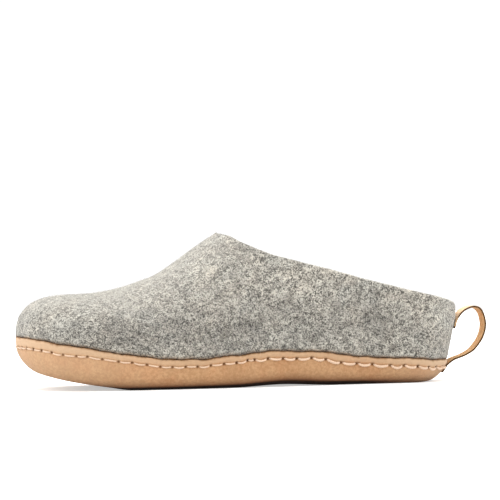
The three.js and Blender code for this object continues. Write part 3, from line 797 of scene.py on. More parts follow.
felt_look, felt_given, felt_made, felt_at = new_look("heather_felt", ("Pale", "Middle", "Dark"))
curls = strands(felt_look, felt_at, 370, 1.2, 0.17, (1, 1, 1.2))
fine_curls = strands(felt_look, felt_at, 640, 1.0, 0.17, (1.15, 1.15, 0.9))
flecks = cloud(felt_look, felt_at, 1150, 2, 0.34, 0.66)
clumps = cloud(felt_look, felt_at, 190, 3, 0.34, 0.66)
drift = cloud(felt_look, felt_at, 42, 3, 0.36, 0.64)
specks = cloud(felt_look, felt_at, 300, 1, 0.72, 0.78)
weave = plus(felt_look, times(felt_look, curls, 0.42), times(felt_look, fine_curls, 0.36))
weave = plus(felt_look, weave, times(felt_look, flecks, 0.3))
weave = times(felt_look, weave, plus(felt_look, 0.8, times(felt_look, clumps, 0.28)))
spread_out = felt_look.nodes.new("ShaderNodeMapRange")
spread_out.inputs["From Min"].default_value = 0.3
spread_out.inputs["From Max"].default_value = 0.84
felt_look.links.new(weave, spread_out.inputs["Value"])
pale_share = arithmetic(felt_look, "POWER", spread_out.outputs["Result"], 1.45)
toned = mixed(felt_look, pale_share, felt_given["Dark"], felt_given["Pale"])
toned = mixed(felt_look, 0.12, toned, felt_given["Middle"])
toned = mixed(felt_look, times(felt_look, drift, 0.16), toned, FIBRE_SHADE)
toned = mixed(felt_look, times(felt_look, specks, 0.35), toned, SPECK_BLACK)
warm_spots = cloud(felt_look, felt_at, 75, 3, 0.46, 0.7)
cool_spots = cloud(felt_look, felt_at, 61, 3, 0.5, 0.72)
for spots, tone in ((warm_spots, WARM_WOOL), (cool_spots, COOL_WOOL)):
    toned = mixed(felt_look, times(felt_look, spots, 0.5), toned, tone, "MULTIPLY")
felt_look.links.new(toned, felt_made["Colour"])
felt_look.links.new(weave, felt_made["Height"])


def mark(tree, layer):
    node = tree.nodes.new("ShaderNodeAttribute")
    node.attribute_name = layer
    return node.outputs["Fac"]


def placed(tree, look, **tones):
    """A look in a material, with the material's own tones."""
    node = tree.nodes.new("ShaderNodeGroup")
    node.node_tree = look
    for socket, tone in tones.items():
        node.inputs[socket].default_value = tone
    return node.outputs


def roughened(tree, shader, height, strength, depth):
    """Bumps of the given depth on the material's surface."""
    rough = tree.nodes.new("ShaderNodeBump")
    rough.inputs["Strength"].default_value = strength
    rough.inputs["Distance"].default_value = depth
    tree.links.new(height, rough.inputs["Height"])
    tree.links.new(rough.outputs["Normal"], shader.inputs["Normal"])


def felt_material(name, pale, middle, dark, depth):
    """Felt with darker (mark0) and paler (mark1) patches, partly wool tone and partly painted shade and
    painted light, brown with painted shade where it touches the cup's rim (mark2), and its upward faces
    evened toward a flat grey: painted light, for tops washed out by the bright light from above."""
    material, tree, shader = new_material(name)
    wool = placed(tree, felt_look, Pale=pale, Middle=middle, Dark=dark)
    # Painted light: the upward faces are evened toward a flat grey, as tops washed out by the bright light
    # above.
    facing = tree.nodes.new("ShaderNodeSeparateXYZ")
    tree.links.new(tree.nodes.new("ShaderNodeTexCoord").outputs["Normal"], facing.inputs[0])
    upward = arithmetic(tree, "MAXIMUM", facing.outputs["Z"], 0)
    top_light_share = times(tree, arithmetic(tree, "POWER", upward, 2.5), 0.34)
    colour = mixed(tree, top_light_share, wool["Colour"], TOP_LIGHT_GREY)
    for layer, tone in (("mark0", DARK_PATCH_AND_SHADE), ("mark1", PALE_PATCH_AND_LIGHT), ("mark2", GAP_SHADE_BROWN)):
        colour = mixed(tree, mark(tree, layer), colour, tone, "MULTIPLY")
    tree.links.new(colour, shader.inputs["Base Color"])
    roughened(tree, shader, wool["Height"], 0.7, depth)
    shader.inputs["Roughness"].default_value = 0.96
    shader.inputs["Specular IOR Level"].default_value = 0.12
    shader.inputs["Sheen Weight"].default_value = 0.25
    shader.inputs["Sheen Roughness"].default_value = 0.6
    return material


felt.data.materials.append(
    felt_material("grey_heather_felt", SHELL_PALE, SHELL_MIDDLE, SHELL_DARK, SHELL_BUMPS)
)
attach(felt, "root")
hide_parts("upper")

# Loose wool fibres: the fuzz that stands off the shell's outside. It is the shell's own wool, worn loose,
# and each fibre curls back toward the felt; one in four is dark.
FIBRES = 5200
FIBRE_POINTS = 5
FIBRE_SIDES = 3
FIBRE_SHIFT = 0.7
FIBRE_ROOT = 0.12 * MM
CORE_HEIGHT = 25 * MM
DARK_SHARE = 0.25
# Lengths and radii in mm
SHORT_FIBRE = 1.3
LONG_FIBRE = 3.0
FINE_FIBRE = 0.035
COARSE_FIBRE = 0.06
LOOSE_PALE = (0.66, 0.63, 0.55, 1)
LOOSE_SHADE = (0.45, 0.42, 0.36, 1)
LOOSE_DARK = (0.06, 0.055, 0.05, 1)
fibre_chance = np.random.default_rng(31)
face_count = len(felt.data.polygons)
face_area = np.empty(face_count)
face_centre = np.empty(face_count * 3)
face_normal = np.empty(face_count * 3)
felt.data.polygons.foreach_get("area", face_area)
felt.data.polygons.foreach_get("center", face_centre)
felt.data.polygons.foreach_get("normal", face_normal)
face_centre = face_centre.reshape(-1, 3)
face_normal = face_normal.reshape(-1, 3)
# Faces that look away from the line through the shell's middle are on its outside.
core = face_centre.copy()
core[:, 0] = np.clip(core[:, 0], along(0.72), along(0.12))
core[:, 1] = 0
core[:, 2] = CORE_HEIGHT
looks_out = np.einsum("ij,ij->i", face_centre - core, face_normal) > 0
over_rim = face_centre[:, 2] > 0.5 * RIM_HEIGHT + sole_lift(face_centre[:, 0])
weight = face_area * (looks_out & over_rim)
picked = fibre_chance.choice(face_count, FIBRES, p=weight / weight.sum())
fibre_normal = face_normal[picked]
sideways = np.cross(fibre_normal, fibre_chance.normal(size=(FIBRES, 3)))
sideways = sideways / np.linalg.norm(sideways, axis=1)[:, None]
across_fibre = np.cross(fibre_normal, sideways)
root = face_centre[picked] + sideways * fibre_chance.uniform(-FIBRE_SHIFT, FIBRE_SHIFT, (FIBRES, 1)) * MM
root = root + across_fibre * fibre_chance.uniform(-FIBRE_SHIFT, FIBRE_SHIFT, (FIBRES, 1)) * MM
root = root - fibre_normal * FIBRE_ROOT
fibre_length = fibre_chance.uniform(SHORT_FIBRE, LONG_FIBRE, FIBRES) * MM
lift = fibre_chance.uniform(0.05, 0.42, FIBRES) ** 1.3
bend = fibre_chance.uniform(-0.6, 0.6, FIBRES)
thick = fibre_chance.uniform(FINE_FIBRE, COARSE_FIBRE, FIBRES) * MM
dark_fibre = fibre_chance.uniform(0, 1, FIBRES) < DARK_SHARE
t = np.linspace(0, 1, FIBRE_POINTS)[None, :, None]
spine = (
    root[:, None, :]
    + (fibre_length[:, None, None] * t) * sideways[:, None, :]
    + (fibre_length * bend)[:, None, None] * t * t * across_fibre[:, None, :]
    + (fibre_length * lift)[:, None, None] * 3.2 * t * (1 - 0.75 * t) * fibre_normal[:, None, :]
)
fibre_turn = np.linspace(0, 2 * math.pi, FIBRE_SIDES + 1)[None, None, :, None]
taper = (thick[:, None, None] * (1 - 0.7 * t))[:, :, None, :]
fibre_round = np.cos(fibre_turn) * across_fibre[:, None, None, :]
fibre_round = fibre_round + np.sin(fibre_turn) * fibre_normal[:, None, None, :]
fibre_wall = spine[:, :, None, :] + taper * fibre_round
first_cap = np.repeat(spine[:, :1, None, :], FIBRE_SIDES + 1, axis=2)
last_cap = np.repeat(spine[:, -1:, None, :], FIBRE_SIDES + 1, axis=2)
fibre_grids = np.concatenate([first_cap, fibre_wall, last_cap], axis=1)
fuzz = closed_mesh("loose_fibres", [(g, unmarked(g) + d) for g, d in zip(fibre_grids, dark_fibre)], 1e-7)


def thread_material(name, tone, shade, rubbed_tone):
    """Wool fibre or twisted thread, toward the rubbed tone where mark0 is 1."""
    material, tree, shader = new_material(name)
    place = tree.nodes.new("ShaderNodeTexCoord").outputs["Object"]
    fluff = cloud(tree, place, 1500, 3, 0.4, 0.62)
    colour = mixed(tree, times(tree, fluff, 0.45), tone, shade)
    colour = mixed(tree, times(tree, mark(tree, "mark0"), 0.25), colour, rubbed_tone)
    tree.links.new(colour, shader.inputs["Base Color"])
    roughened(tree, shader, fluff, 0.4, 0.0002)
    shader.inputs["Roughness"].default_value = 0.7
    shader.inputs["Sheen Weight"].default_value = 0.15
    return material


fuzz.data.materials.append(thread_material("loose_wool", LOOSE_PALE, LOOSE_SHADE, LOOSE_DARK))
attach(fuzz, "root")

# Cup sole: tan suede about 2.4 mm thick, stretched wet over the felt's foot and wrapped up its side.
# Its cut rim is darker, and one row of stitches, pulled tight, presses a groove below a puffed band.
RIM_SOFT = 0.35 * MM
RIM_SOFT_REACH = 0.7 * MM
GROOVE = 0.22 * MM
GROOVE_REACH = 0.9 * MM
BAND_PUFF = 0.45 * MM
NEEDLE_PIT = 0.6 * MM
PIT_REACH = 0.8 * MM
THIN_CUT = 0.12 * MM
SHADE_REACH = 2.3 * MM
BAND_REACH = 1.6
# at, stitch line below the rim in mm
STITCH_LINE = np.array([
    (0, 4.9), (0.12, 4.8), (0.2, 4.4), (0.25, 4.2), (0.29, 4.9), (0.36, 3.9), (0.42, 4.4), (0.47, 4.4),
    (0.495, 4.2), (0.53, 5.3), (0.58, 4.1), (0.66, 4.6), (0.72, 5.0), (0.82, 5.8), (0.9, 6.1),
    (0.96, 5.9), (1, 6.3),
])
stitch_drop = curve(STITCH_LINE, 1)
cup_cuts = all_round(vamp_steps=112, side_steps=150, heel_steps=150, toe_steps=200)
edge_r, edge_z = cup_cuts.edge(np.radians(np.linspace(82, 0, 40))[None, :], 0)
side_z = blend_rows(cup_cuts.sole + cup_cuts.upward, cup_cuts.rim, np.linspace(0, 1, 41)[1:])
line_r = np.concatenate([edge_r, cup_cuts.skin(side_z)], axis=1)[:, ::-1]
line_z = np.concatenate([edge_z, side_z], axis=1)[:, ::-1]
line_run = np.cumsum(np.hypot(np.diff(line_r, axis=1), np.diff(line_z, axis=1)), axis=1)
line_run = np.concatenate([np.zeros((len(line_r), 1)), line_run], axis=1)
stitch_at = stitch_drop(cup_cuts.at) * MM - cup_cuts.dip
fine = np.linspace(0, 1, 15)
rest = np.linspace(0, 1, 18)[1:]
band_end = BAND_REACH * stitch_at[:, None]
down = np.concatenate([
    band_end * fine[None, :],
    band_end + (line_run[:, -1:] - band_end) * rest[None, :],
], axis=1)


def along_line(distances):
    r = np.stack([np.interp(distances[i], line_run[i], line_r[i]) for i in range(len(line_r))])
    z = np.stack([np.interp(distances[i], line_run[i], line_z[i]) for i in range(len(line_r))])
    return r, z


side = cup_cuts.place(*along_line(down))
ragged = RIM_RAGGED * lumps(side[:, 0], 1.3 * MM, 22)
side[:, :4, 2] += ragged[:, None] * np.array([1, 0.7, 0.4, 0.15])
across_side = np.gradient(side, axis=1)
round_side = np.roll(side, -1, axis=0) - np.roll(side, 1, axis=0)
side_out = np.cross(across_side, round_side)
side_out = side_out / np.linalg.norm(side_out, axis=2)[:, :, None]
seam = cup_cuts.place(*along_line(stitch_at[:, None]))[:, 0]
seam_step = np.linalg.norm(np.roll(seam, -1, axis=0) - seam, axis=1)
seam_run = np.concatenate([[0], np.cumsum(seam_step)])
seam_length = seam_run[-1]

# Where the needle went through. Sewing starts at the lap on the outer side and goes round the heel with
# long stitches, then round the toe with shorter ones, and ends with one short stitch beside the start.
LAP_SHARE = 0.487
LONG_STITCH = 9.23 * MM
SHORT_STITCH = 7.93 * MM
FIRST_STITCHES = np.array([8.7, 9.5, 8.6, 9.5, 8.8, 10.2, 9.8, 9.6, 11.2, 8.7, 9.2, 7.9, 7.5]) * MM
LAST_STITCHES = np.array([8.3, 6.6, 9, 9.7, 8.1, 8.8, 8, 7.2, 7.9, 7.2, 8, 8.1, 7.8, 7, 4.2]) * MM
chance = np.random.default_rng(7)
lap_cut = int(np.argmin(np.abs(cup_cuts.at - LAP_SHARE) + cup_cuts.medial))
walked = FIRST_STITCHES.sum()
last_start = seam_length - LAST_STITCHES.sum()
steps = []
while walked < last_start:
    share = np.interp((seam_run[lap_cut] + walked) % seam_length, seam_run[:-1], cup_cuts.at)
    step = (LONG_STITCH if share < LAP_SHARE else SHORT_STITCH) * chance.uniform(0.94, 1.06)
    steps.append(step)
    walked += step
steps = np.array(steps) * (last_start - FIRST_STITCHES.sum()) / sum(steps)
steps = np.concatenate([FIRST_STITCHES, steps, LAST_STITCHES])
stitch_count = len(steps)
hole_run = seam_run[lap_cut] + np.concatenate([[0], np.cumsum(steps)[:-1]])


def on_seam(values, distance):
    """A ring of values read at a distance along the seam."""
    closed = np.concatenate([values, values[:1]])
    d = np.mod(distance, seam_length)
    return np.stack([np.interp(d, seam_run, closed[:, k]) for k in range(closed.shape[1])], axis=-1)


holes = on_seam(seam, hole_run)
nearest = np.full(down.shape, 1.0)
for hole in holes:
    nearest = np.minimum(nearest, np.linalg.norm(side - hole, axis=2))
stitch_here = stitch_at[:, None]
share_down = down / stitch_here
puff_by = BAND_PUFF * (1 - 0.8 * smooth_step((cup_cuts.at - 0.93) / 0.06))[:, None]
relief = puff_by * np.where(share_down < 1, np.sin(math.pi * np.clip(share_down, 0, 1) ** 0.8), 0)
relief = relief - GROOVE * np.exp(-(((down - stitch_here) / GROOVE_REACH) ** 2))
relief = relief - RIM_SOFT * np.exp(-((down / RIM_SOFT_REACH) ** 2))
relief = relief - NEEDLE_PIT * np.exp(-((nearest / PIT_REACH) ** 2))
flat = side.reshape(-1, 3)
waves = (0.16 * lumps(flat, 14 * MM, 4) + 0.07 * lumps(flat, 3.5 * MM, 5)) * MM
relief = relief + waves.reshape(relief.shape) * np.clip(share_down, 0, 1)
side = side + side_out * relief[:, :, None]
under = cup_cuts.edge(np.array([[math.pi / 2]]), 0)[0]
sole_rows = cup_cuts.place(*cup_cuts.floor_row(under * np.linspace(1, 0, 10)[None, :], 0))
rim_in = cup_cuts.rim[:, None]
rim_rows = cup_cuts.place(
    cup_cuts.skin(rim_in) - np.array([[LEATHER * 0.5, LEATHER - 0.25 * MM, LEATHER]]),
    rim_in + np.array([[0.02, -0.1, -0.5]]) * MM,
)
rim_rows[:, :, 2] += ragged[:, None]
inside_r, inside_z = cup_cuts.edge(np.radians(np.linspace(0, 82, 12))[None, :], LEATHER)
inside_edge = cup_cuts.place(inside_r, inside_z)
inside_under = cup_cuts.edge(np.array([[math.pi / 2]]), LEATHER)[0]
inside_floor = cup_cuts.place(*cup_cuts.floor_row(inside_under * np.linspace(1, 0, 6)[None, :], LEATHER))
cup_grid = np.concatenate([
    inside_floor[:, ::-1], inside_edge[:, ::-1], rim_rows[:, ::-1], side, sole_rows,
], axis=1)
inner_rows = inside_floor.shape[1] + inside_edge.shape[1] + rim_rows.shape[1]
cup_marks = np.zeros(cup_grid.shape[:2] + (4,))
cup_marks[:, :inner_rows, 0] = 1
cut_width = 0.56 + 0.4 * lumps(side[:, 0], 5 * MM, 11) + 0.5 * lumps(side[:, 0], 1.4 * MM, 12)
cut_width = np.maximum(cut_width[:, None] * MM, THIN_CUT)
hole_size = 0.76 - 0.2 * smooth_step((cup_cuts.at - 0.45) / 0.2)
hole_size = (hole_size + 0.3 * smooth_step((cup_cuts.at - 0.9) / 0.08))[:, None] * MM
side_marks = cup_marks[:, inner_rows:inner_rows + down.shape[1]]
side_marks[:, :, 0] = np.exp(-((down / cut_width) ** 2))
# Painted shade in the needle holes.
side_marks[:, :, 1] = np.clip(2.4 * np.exp(-((nearest / hole_size) ** 2)), 0, 1)
# Painted highlight: the puffed band between rim and stitches is paler.
side_marks[:, :, 2] = smooth_step((1 - share_down) / 0.3)
# Painted light: paler at the toe and at the heel's back, the ends that the light falls on most brightly.
cup_marks[:, :, 2] += 0.7 * smooth_step((cup_cuts.at - 0.6) / 0.4)[:, None]
cup_marks[:, :, 2] += 1.1 * smooth_step((0.22 - cup_cuts.at) / 0.2)[:, None]
# Painted shade: the cup darkens toward the floor, to a painted contact shadow at its bottom edge, farthest
# up at the waist and hardly at all at the heel's back.
off_floor = cup_grid[:, :, 2] - WAIST_LIFT * waist(share_of(cup_grid[:, :, 0]))
shade_reach = SHADE_REACH * (1 + 0.8 * np.exp(-(((cup_cuts.at - 0.38) / 0.15) ** 2)))[:, None]
below = np.exp(-((off_floor / shade_reach) ** 2)) + 0.4 * (1 - smooth_step(off_floor / (7.5 * MM)))
cup_marks[:, :, 3] = np.clip(below, 0, 1) * (0.1 + 0.9 * smooth_step(cup_cuts.at / 0.24))[:, None]
cup = closed_mesh("suede_cup_sole", [(ring(cup_grid[:, ::-1]), ring(cup_marks[:, ::-1]))])

# The suede look, for cup and pull loop: a short nap with fine mottling, darker blotches and pores.
TAN = (0.585, 0.35, 0.186, 1)
TAN_SHADE = (0.37, 0.193, 0.09, 1)
# Painted highlight and painted light: the paler tan of the cup's puffed band and of its toe and heel ends.
TAN_BAND = (0.64, 0.465, 0.315, 1)
CUT_BROWN = (0.2, 0.09, 0.03, 1)
# Painted shade in the needle holes.
HOLE_SHADE_BROWN = (0.11, 0.045, 0.018, 1)
# Painted shade toward the floor and painted contact shadow at the cup's bottom edge.
FOOT_SHADE_BROWN = (0.2, 0.075, 0.035, 1)
CONTACT_SHADOW_BLACK = (0.02, 0.008, 0.003, 1)
FLUSH = (1, 0.9, 0.86, 1)
suede_look, suede_given, suede_made, suede_at = new_look("tan_suede_nap", ("Tone", "Shade"))
nap = cloud(suede_look, suede_at, 620, 4, 0.39, 0.61)
blotches = cloud(suede_look, suede_at, 55, 4, 0.38, 0.66)
pores = cloud(suede_look, suede_at, 1700, 2, 0.55, 0.68)
flushed = cloud(suede_look, suede_at, 88, 2, 0.45, 0.65)
suede_colour = suede_given["Tone"]
for spots, share in ((blotches, 0.38), (nap, 0.5), (pores, 0.35)):
    suede_colour = mixed(suede_look, times(suede_look, spots, share), suede_colour, suede_given["Shade"])
suede_colour = mixed(suede_look, times(suede_look, flushed, 0.6), suede_colour, FLUSH, "MULTIPLY")
suede_look.links.new(suede_colour, suede_made["Colour"])
suede_look.links.new(arithmetic(suede_look, "SUBTRACT", nap, pores), suede_made["Height"])


def suede_material(name, tone, shade, cut_tone, hole_shade_tone, face_and_band_highlight, foot_shade_tone):
    """Suede, darker at the cut edge (mark0), with painted shade in the needle holes (mark1) and toward the
    floor, ending in a painted contact shadow (mark3); paler where mark2 is set: the puffed band's painted
    highlight, the painted light at the cup's toe and heel, and the loop's paler outer face."""
    material, tree, shader = new_material(name)
    suede = placed(tree, suede_look, Tone=tone, Shade=shade)
    foot = mark(tree, "mark3")
    colour = mixed(tree, times(tree, mark(tree, "mark2"), 0.4), suede["Colour"], face_and_band_highlight)
    # Painted shade toward the floor, then a painted contact shadow.
    colour = mixed(tree, times(tree, foot, 0.9), colour, foot_shade_tone)
    colour = mixed(tree, arithmetic(tree, "POWER", foot, 6), colour, CONTACT_SHADOW_BLACK)
    colour = mixed(tree, mark(tree, "mark0"), colour, cut_tone)
    colour = mixed(tree, mark(tree, "mark1"), colour, hole_shade_tone)
    tree.links.new(colour, shader.inputs["Base Color"])
    roughened(tree, shader, suede["Height"], 0.35, 0.0003)
    shader.inputs["Roughness"].default_value = 0.78
    shader.inputs["Specular IOR Level"].default_value = 0.05
    shader.inputs["Sheen Weight"].default_value = 0.06
    shader.inputs["Sheen Roughness"].default_value = 0.5
    return material


cup.data.materials.append(
    suede_material("tan_suede", TAN, TAN_SHADE, CUT_BROWN, HOLE_SHADE_BROWN, TAN_BAND, FOOT_SHADE_BROWN)
)
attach(cup, "root")
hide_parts("outsole")

# Thread: one waxed off-white thread sewn right round through suede and felt. It is drawn tight at the
# toe and looser at the heel, where each stitch hangs in a shallow bow between its two holes.
THREAD_TURNS = 3.2
THREAD_SIDES = 10
THREAD_STEPS = 22
DIVE = 1.5 * MM
HOLE_CLEAR = 0.75 * MM
PLY_DEPTH = 0.16
WAXED_WHITE = (0.82, 0.6, 0.43, 1)
WAXED_SHADE = (0.6, 0.4, 0.26, 1)
# at, radius of the thread and sag of a stitch in mm
THREAD = np.array([
    (0, 0.74, 0.95), (0.3, 0.78, 1.05), (0.42, 0.7, 0.9), (0.5, 0.56, 0.5), (0.7, 0.5, 0.3), (1, 0.46, 0.25),
])
thread_radius = curve(THREAD, 1)
thread_sag = curve(THREAD, 2)


def twisted(path, radius, outward):
    """A two-ply twisted thread along a path, as one closed grid of points."""
    way = np.gradient(path, axis=0)
    way = way / np.linalg.norm(way, axis=1)[:, None]
    side_way = np.cross(way, outward)
    side_way = side_way / np.linalg.norm(side_way, axis=1)[:, None]
    up_way = np.cross(side_way, way)
    turn = np.linspace(0, 2 * math.pi, THREAD_SIDES + 1)
    twist = np.linspace(0, THREAD_TURNS * 2 * math.pi, len(path))[:, None]
    lobed = radius * (1 + PLY_DEPTH * np.cos(2 * (turn[None, :] - twist)))
    wall = (
        path[:, None, :]
        + side_way[:, None, :] * (lobed * np.cos(turn)[None, :])[:, :, None]
        + up_way[:, None, :] * (lobed * np.sin(turn)[None, :])[:, :, None]
    )
    ends = [np.repeat(path[k][None, None, :], THREAD_SIDES + 1, axis=1) for k in (0, -1)]
    return np.concatenate([ends[0], wall, ends[1]], axis=0)


cut_range = range(len(seam))
stitch_row = [int(np.argmin(np.abs(down[i] - stitch_at[i]))) for i in cut_range]
seam_out = side_out[cut_range, stitch_row]
seam_down = across_side[cut_range, stitch_row]
seam_down = seam_down / np.linalg.norm(seam_down, axis=1)[:, None]
seam_share = cup_cuts.at[:, None]
thread_grids = []
for k in range(stitch_count):
    start = hole_run[k]
    end = start + steps[k]
    t = np.linspace(0, 1, THREAD_STEPS)
    d = start + HOLE_CLEAR + (end - start - 2 * HOLE_CLEAR) * t
    share = on_seam(seam_share, np.array([(start + end) / 2]))[0, 0]
    radius = float(thread_radius(share)) * MM
    sag = float(thread_sag(share)) * MM * chance.uniform(0.7, 1.25)
    rise = smooth_step(t / 0.14) * smooth_step((1 - t) / 0.14)
    bow = 4 * t * (1 - t)
    plump = radius * (0.6 + 0.4 * bow**0.6)
    outward = on_seam(seam_out, d)
    path = (
        on_seam(seam, d)
        + outward * ((rise * (DIVE + 0.35 * radius + 0.25 * sag * bow)) - DIVE)[:, None]
        + on_seam(seam_down, d) * (sag * bow)[:, None]
    )
    grid = twisted(path, plump[:, None], outward)
    thread_grids.append((grid, unmarked(grid) + float(smooth_step((share - 0.46) / 0.2))))
thread = closed_mesh("seam_thread", thread_grids, 1e-7)
thread.data.materials.append(thread_material("waxed_thread", WAXED_WHITE, WAXED_SHADE, TAN_BAND))
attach(thread, "root")

# Insole: grey felt like the shell's, 5 mm thick, cut to the inside of the cup and laid in loose on its
# floor. Its upper face is a little uneven, as thick felt is.
FOOTBED = 5 * MM
INSOLE_PALE = (0.63, 0.595, 0.515, 1)
INSOLE_MIDDLE = (0.24, 0.225, 0.195, 1)
INSOLE_DARK = (0.07, 0.065, 0.056, 1)
INSOLE_BUMPS = 0.0005
bed_edge = cuts.edge(np.array([[FOOT_TURN]]), PRESSED)[0] - GAP / cuts.facing[:, None]
bed_under = cuts.edge(np.array([[math.pi / 2]]), LEATHER)[0] - GAP
low = LEATHER + GAP
bed_line = [
    (bed_under * np.linspace(0, 1, 5)[None, :], np.full(5, low)),
    (bed_edge + np.zeros((1, 3)), low + FOOTBED * np.array([0.35, 0.6, 0.8])),
    (bed_edge - FOOTBED * np.array([[0.07, 0.2]]), low + FOOTBED * np.array([0.95, 1.0])),
    (bed_under * np.linspace(0.93, 0, 30)[None, :], np.full(30, low + FOOTBED)),
]
bed_rows = []
for bed_r, rise in bed_line:
    r, z = cuts.floor_row(np.maximum(bed_r, 0), rise[None, :])
    bed_rows.append(cuts.place(r, z))
bed_grid = np.concatenate(bed_rows, axis=1)
insole = closed_mesh("felt_insole", [(ring(bed_grid), unmarked(ring(bed_grid), 3))])
where = positions(insole.data)
uneven = -0.35 * MM + 0.3 * MM * lumps(where, 21 * MM, 8) + 0.12 * MM * lumps(where, 5 * MM, 9)
top_side = smooth_step((where[:, 2] - sole_lift(where[:, 0]) - low - 0.85 * FOOTBED) / (0.1 * FOOTBED))
where[:, 2] += np.minimum(uneven * top_side, 0.1 * MM)
insole.data.vertices.foreach_set("co", where.ravel())
insole.data.update()
insole.data.materials.append(
    felt_material("insole_heather_felt", INSOLE_PALE, INSOLE_MIDDLE, INSOLE_DARK, INSOLE_BUMPS)
)
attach(insole, "root")
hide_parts("footbed")

# Pull loop: a strip of thin suede, 13 mm wide, bent into a flat D behind the heel. Its upper tab is sewn
# to the felt and its lower tab to the cup; the cut edges are dark.
LOOP_WIDTH = 13 * MM
LOOP_THICK = 1.2 * MM
LOOP_REACH = 18.8 * MM
LOOP_TOP = 37.2 * MM
LOOP_FOOT = 10.2 * MM
LOOP_TAB = 4.3 * MM
LOOP_ROWS = 150
BACK_TOP = 45 * MM
BACK_ROWS = 60
CUT_CORNER = 0.12 * MM
FACE_CORNER = 0.3 * MM
STRAP_TAN = (0.75, 0.475, 0.235, 1)
STRAP_SHADE = (0.6, 0.35, 0.155, 1)
STRAP_CUT = (0.085, 0.043, 0.016, 1)
STRAP_FACE = (0.75, 0.55, 0.37, 1)
# out: share of the reach behind the heel back; rise: share of the height between foot and top.
LOOP = np.array([
    (0.14, 1.15), (0.29, 1.25), (0.45, 1.305), (0.62, 1.33), (0.8, 1.295), (0.904, 1.205),
    (0.965, 1.09), (1, 0.93), (0.979, 0.79), (0.926, 0.672), (0.845, 0.56), (0.72, 0.44),
    (0.57, 0.325), (0.4, 0.25), (0.22, 0.19), (0.03, 0.145), (-0.13, 0.1),
])
back_y = BALL_WIDTH * ridge_of(share_of(np.array([0.0])))
back = Cuts(np.array([0.0]), back_y, np.array([1.0]), np.array([0.0]), np.array([False]), np.array([True]))
back_edge = back.edge(np.radians(np.linspace(88, 0, BACK_ROWS))[None, :], 0)
back_z = np.linspace(float(back.sole[0] + back.upward[0]), BACK_TOP, BACK_ROWS)[None, :]
back_r = np.concatenate([back_edge[0][0], back.skin(back_z)[0]])
back_z = np.concatenate([back_edge[1][0], back_z[0]])
order = np.argsort(back_z)
back_r = back_r[order]
back_z = back_z[order]


def off_heel(z, off):
    """A point off the heel's back by a strip's half thickness and the clearance."""
    r = np.interp(z, back_z, back_r)
    slope = np.interp(z + 0.2 * MM, back_z, back_r) - np.interp(z - 0.2 * MM, back_z, back_r)
    tilt = math.atan2(slope, 0.4 * MM)
    return np.array([r + off * math.cos(tilt), 0, z - off * math.sin(tilt)])


strip_off = GAP + LOOP_THICK / 2
loop_knots = [off_heel(z, strip_off) for z in np.linspace(LOOP_TOP - LOOP_TAB, LOOP_TOP, 4)]
loop_knots += [
    np.array([HEEL_SEAT + out * LOOP_REACH, 0, LOOP_FOOT + rise * (LOOP_TOP - LOOP_FOOT)])
    for out, rise in LOOP
]
loop_knots += [off_heel(z, strip_off) for z in np.linspace(LOOP_FOOT - 0.4 * MM, LOOP_FOOT - LOOP_TAB, 4)]
loop_knots = np.array(loop_knots)
far_end = [2 * loop_knots[-1] - loop_knots[-2]]
near_end = [2 * loop_knots[0] - loop_knots[1]]
ringed = closed_line(np.concatenate([near_end, loop_knots, far_end])[:, [0, 2]], 24)
loop_path = ringed[24:24 * len(loop_knots) + 1]
path_run = np.concatenate([[0], np.cumsum(np.linalg.norm(np.diff(loop_path, axis=0), axis=1))])
even = np.linspace(0, path_run[-1], LOOP_ROWS)
loop_x = np.interp(even, path_run, loop_path[:, 0])
loop_z = np.interp(even, path_run, loop_path[:, 1])
way_x = np.gradient(loop_x)
way_z = np.gradient(loop_z)
way_length = np.hypot(way_x, way_z)
out_x = way_z / way_length
out_z = -way_x / way_length
share = even / path_run[-1]
# The tabs follow the round of the heel; the free loop between them is straight across.
wrap = np.maximum(0, 1 - share * (1 - share) / 0.12)
half_w = LOOP_WIDTH / 2
half_t = LOOP_THICK / 2
# The strip's section as a ring: flat faces with slightly rounded corners.
flat_part = np.linspace(-half_w + FACE_CORNER, half_w - FACE_CORNER, 15)
face_y = np.concatenate([[-half_w + CUT_CORNER], flat_part, [half_w - CUT_CORNER]])
section_y = np.concatenate([face_y, [half_w, half_w], face_y[::-1], [-half_w, -half_w], face_y[:1]])
section_h = np.concatenate([
    np.full(len(face_y), half_t), [0.7 * half_t, -0.7 * half_t],
    np.full(len(face_y), -half_t), [-0.7 * half_t, 0.7 * half_t], [half_t],
])
cut_edge = np.where(np.abs(section_y) > half_w - 0.05 * MM, 1.0, 0.0)
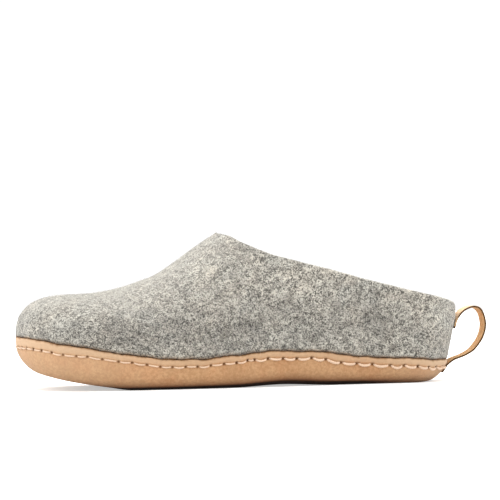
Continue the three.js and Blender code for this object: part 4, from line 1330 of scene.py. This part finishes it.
# A strip cut by hand isn't quite even in width.
narrow = 1 + 0.03 * np.sin(share * 9.0 + 0.6)
strip_y = section_y[None, :] * narrow[:, None]
strip = np.stack([
    loop_x[:, None] + out_x[:, None] * section_h[None, :] - wrap[:, None] * strip_y**2 / HEEL_WIDTH,
    strip_y,
    loop_z[:, None] + out_z[:, None] * section_h[None, :],
], axis=2)
ends = [np.repeat(strip[k].mean(axis=0)[None, None, :], strip.shape[1], axis=1) for k in (0, -1)]
strip_grid = np.concatenate([ends[0], strip, ends[1]], axis=0)[::-1]
strip_marks = unmarked(strip_grid, 3)
strip_share = np.concatenate([share[:1], share, share[-1:]])[::-1]
strip_marks[:, :, 0] = cut_edge[None, :] * (0.2 + 0.8 * smooth_step((strip_share - 0.075) / 0.03))[:, None]
strip_marks[:2, :, 0] = 1
strip_marks[-4:, :, 0] = 1
strip_marks[:, :, 2] = 1.6 * (section_h < 0)[None, :]
loop = closed_mesh("suede_pull_loop", [(strip_grid, strip_marks)], 1e-7)
loop.data.materials.append(
    suede_material("strap_suede", STRAP_TAN, STRAP_SHADE, STRAP_CUT, HOLE_SHADE_BROWN, STRAP_FACE, FOOT_SHADE_BROWN)
)
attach(loop, "root")
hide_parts("pull_loop")

# Tacking stitches of the loop: short bars of white thread that hold its tabs, in two rows on the felt
# at the top and in one row on the cup at the foot.
TACK_LENGTH = 3.0
TACK_RADIUS = 0.34 * MM
TACK_DEPTH = DIVE * 0.5
TACK_RISE = 0.2 * MM
TACK_WHITE = (0.78, 0.74, 0.68, 1)
TACK_SHADE = (0.5, 0.45, 0.38, 1)
TACK_RUBBED = (0.6, 0.5, 0.4, 1)
# share of the strip's length, mm from its middle
TACKS = (
    (0.03, -4.6), (0.03, 0), (0.03, 4.6), (0.058, -2.4), (0.058, 2.4),
    (0.965, -4.6), (0.965, 0), (0.965, 4.6),
)
tack_grids = []
for share_along, side_y in TACKS:
    k = round(share_along * (LOOP_ROWS - 1))
    t = np.linspace(0, 1, THREAD_STEPS)
    y = (side_y + TACK_LENGTH * (t - 0.5)) * MM
    rise = smooth_step(t / 0.25) * smooth_step((1 - t) / 0.25)
    h = half_t - TACK_DEPTH + rise * (TACK_DEPTH + TACK_RISE)
    path = np.stack([
        loop_x[k] + out_x[k] * h - wrap[k] * y**2 / HEEL_WIDTH,
        y,
        loop_z[k] + out_z[k] * h,
    ], axis=1)
    outward = np.repeat(np.array([[out_x[k], 0.0, out_z[k]]]), THREAD_STEPS, axis=0)
    grid = twisted(path, TACK_RADIUS, outward)
    tack_grids.append((grid, unmarked(grid)))
tacks = closed_mesh("loop_tacks", tack_grids, 1e-7)
tacks.data.materials.append(thread_material("white_thread", TACK_WHITE, TACK_SHADE, TACK_RUBBED))
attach(tacks, "root")
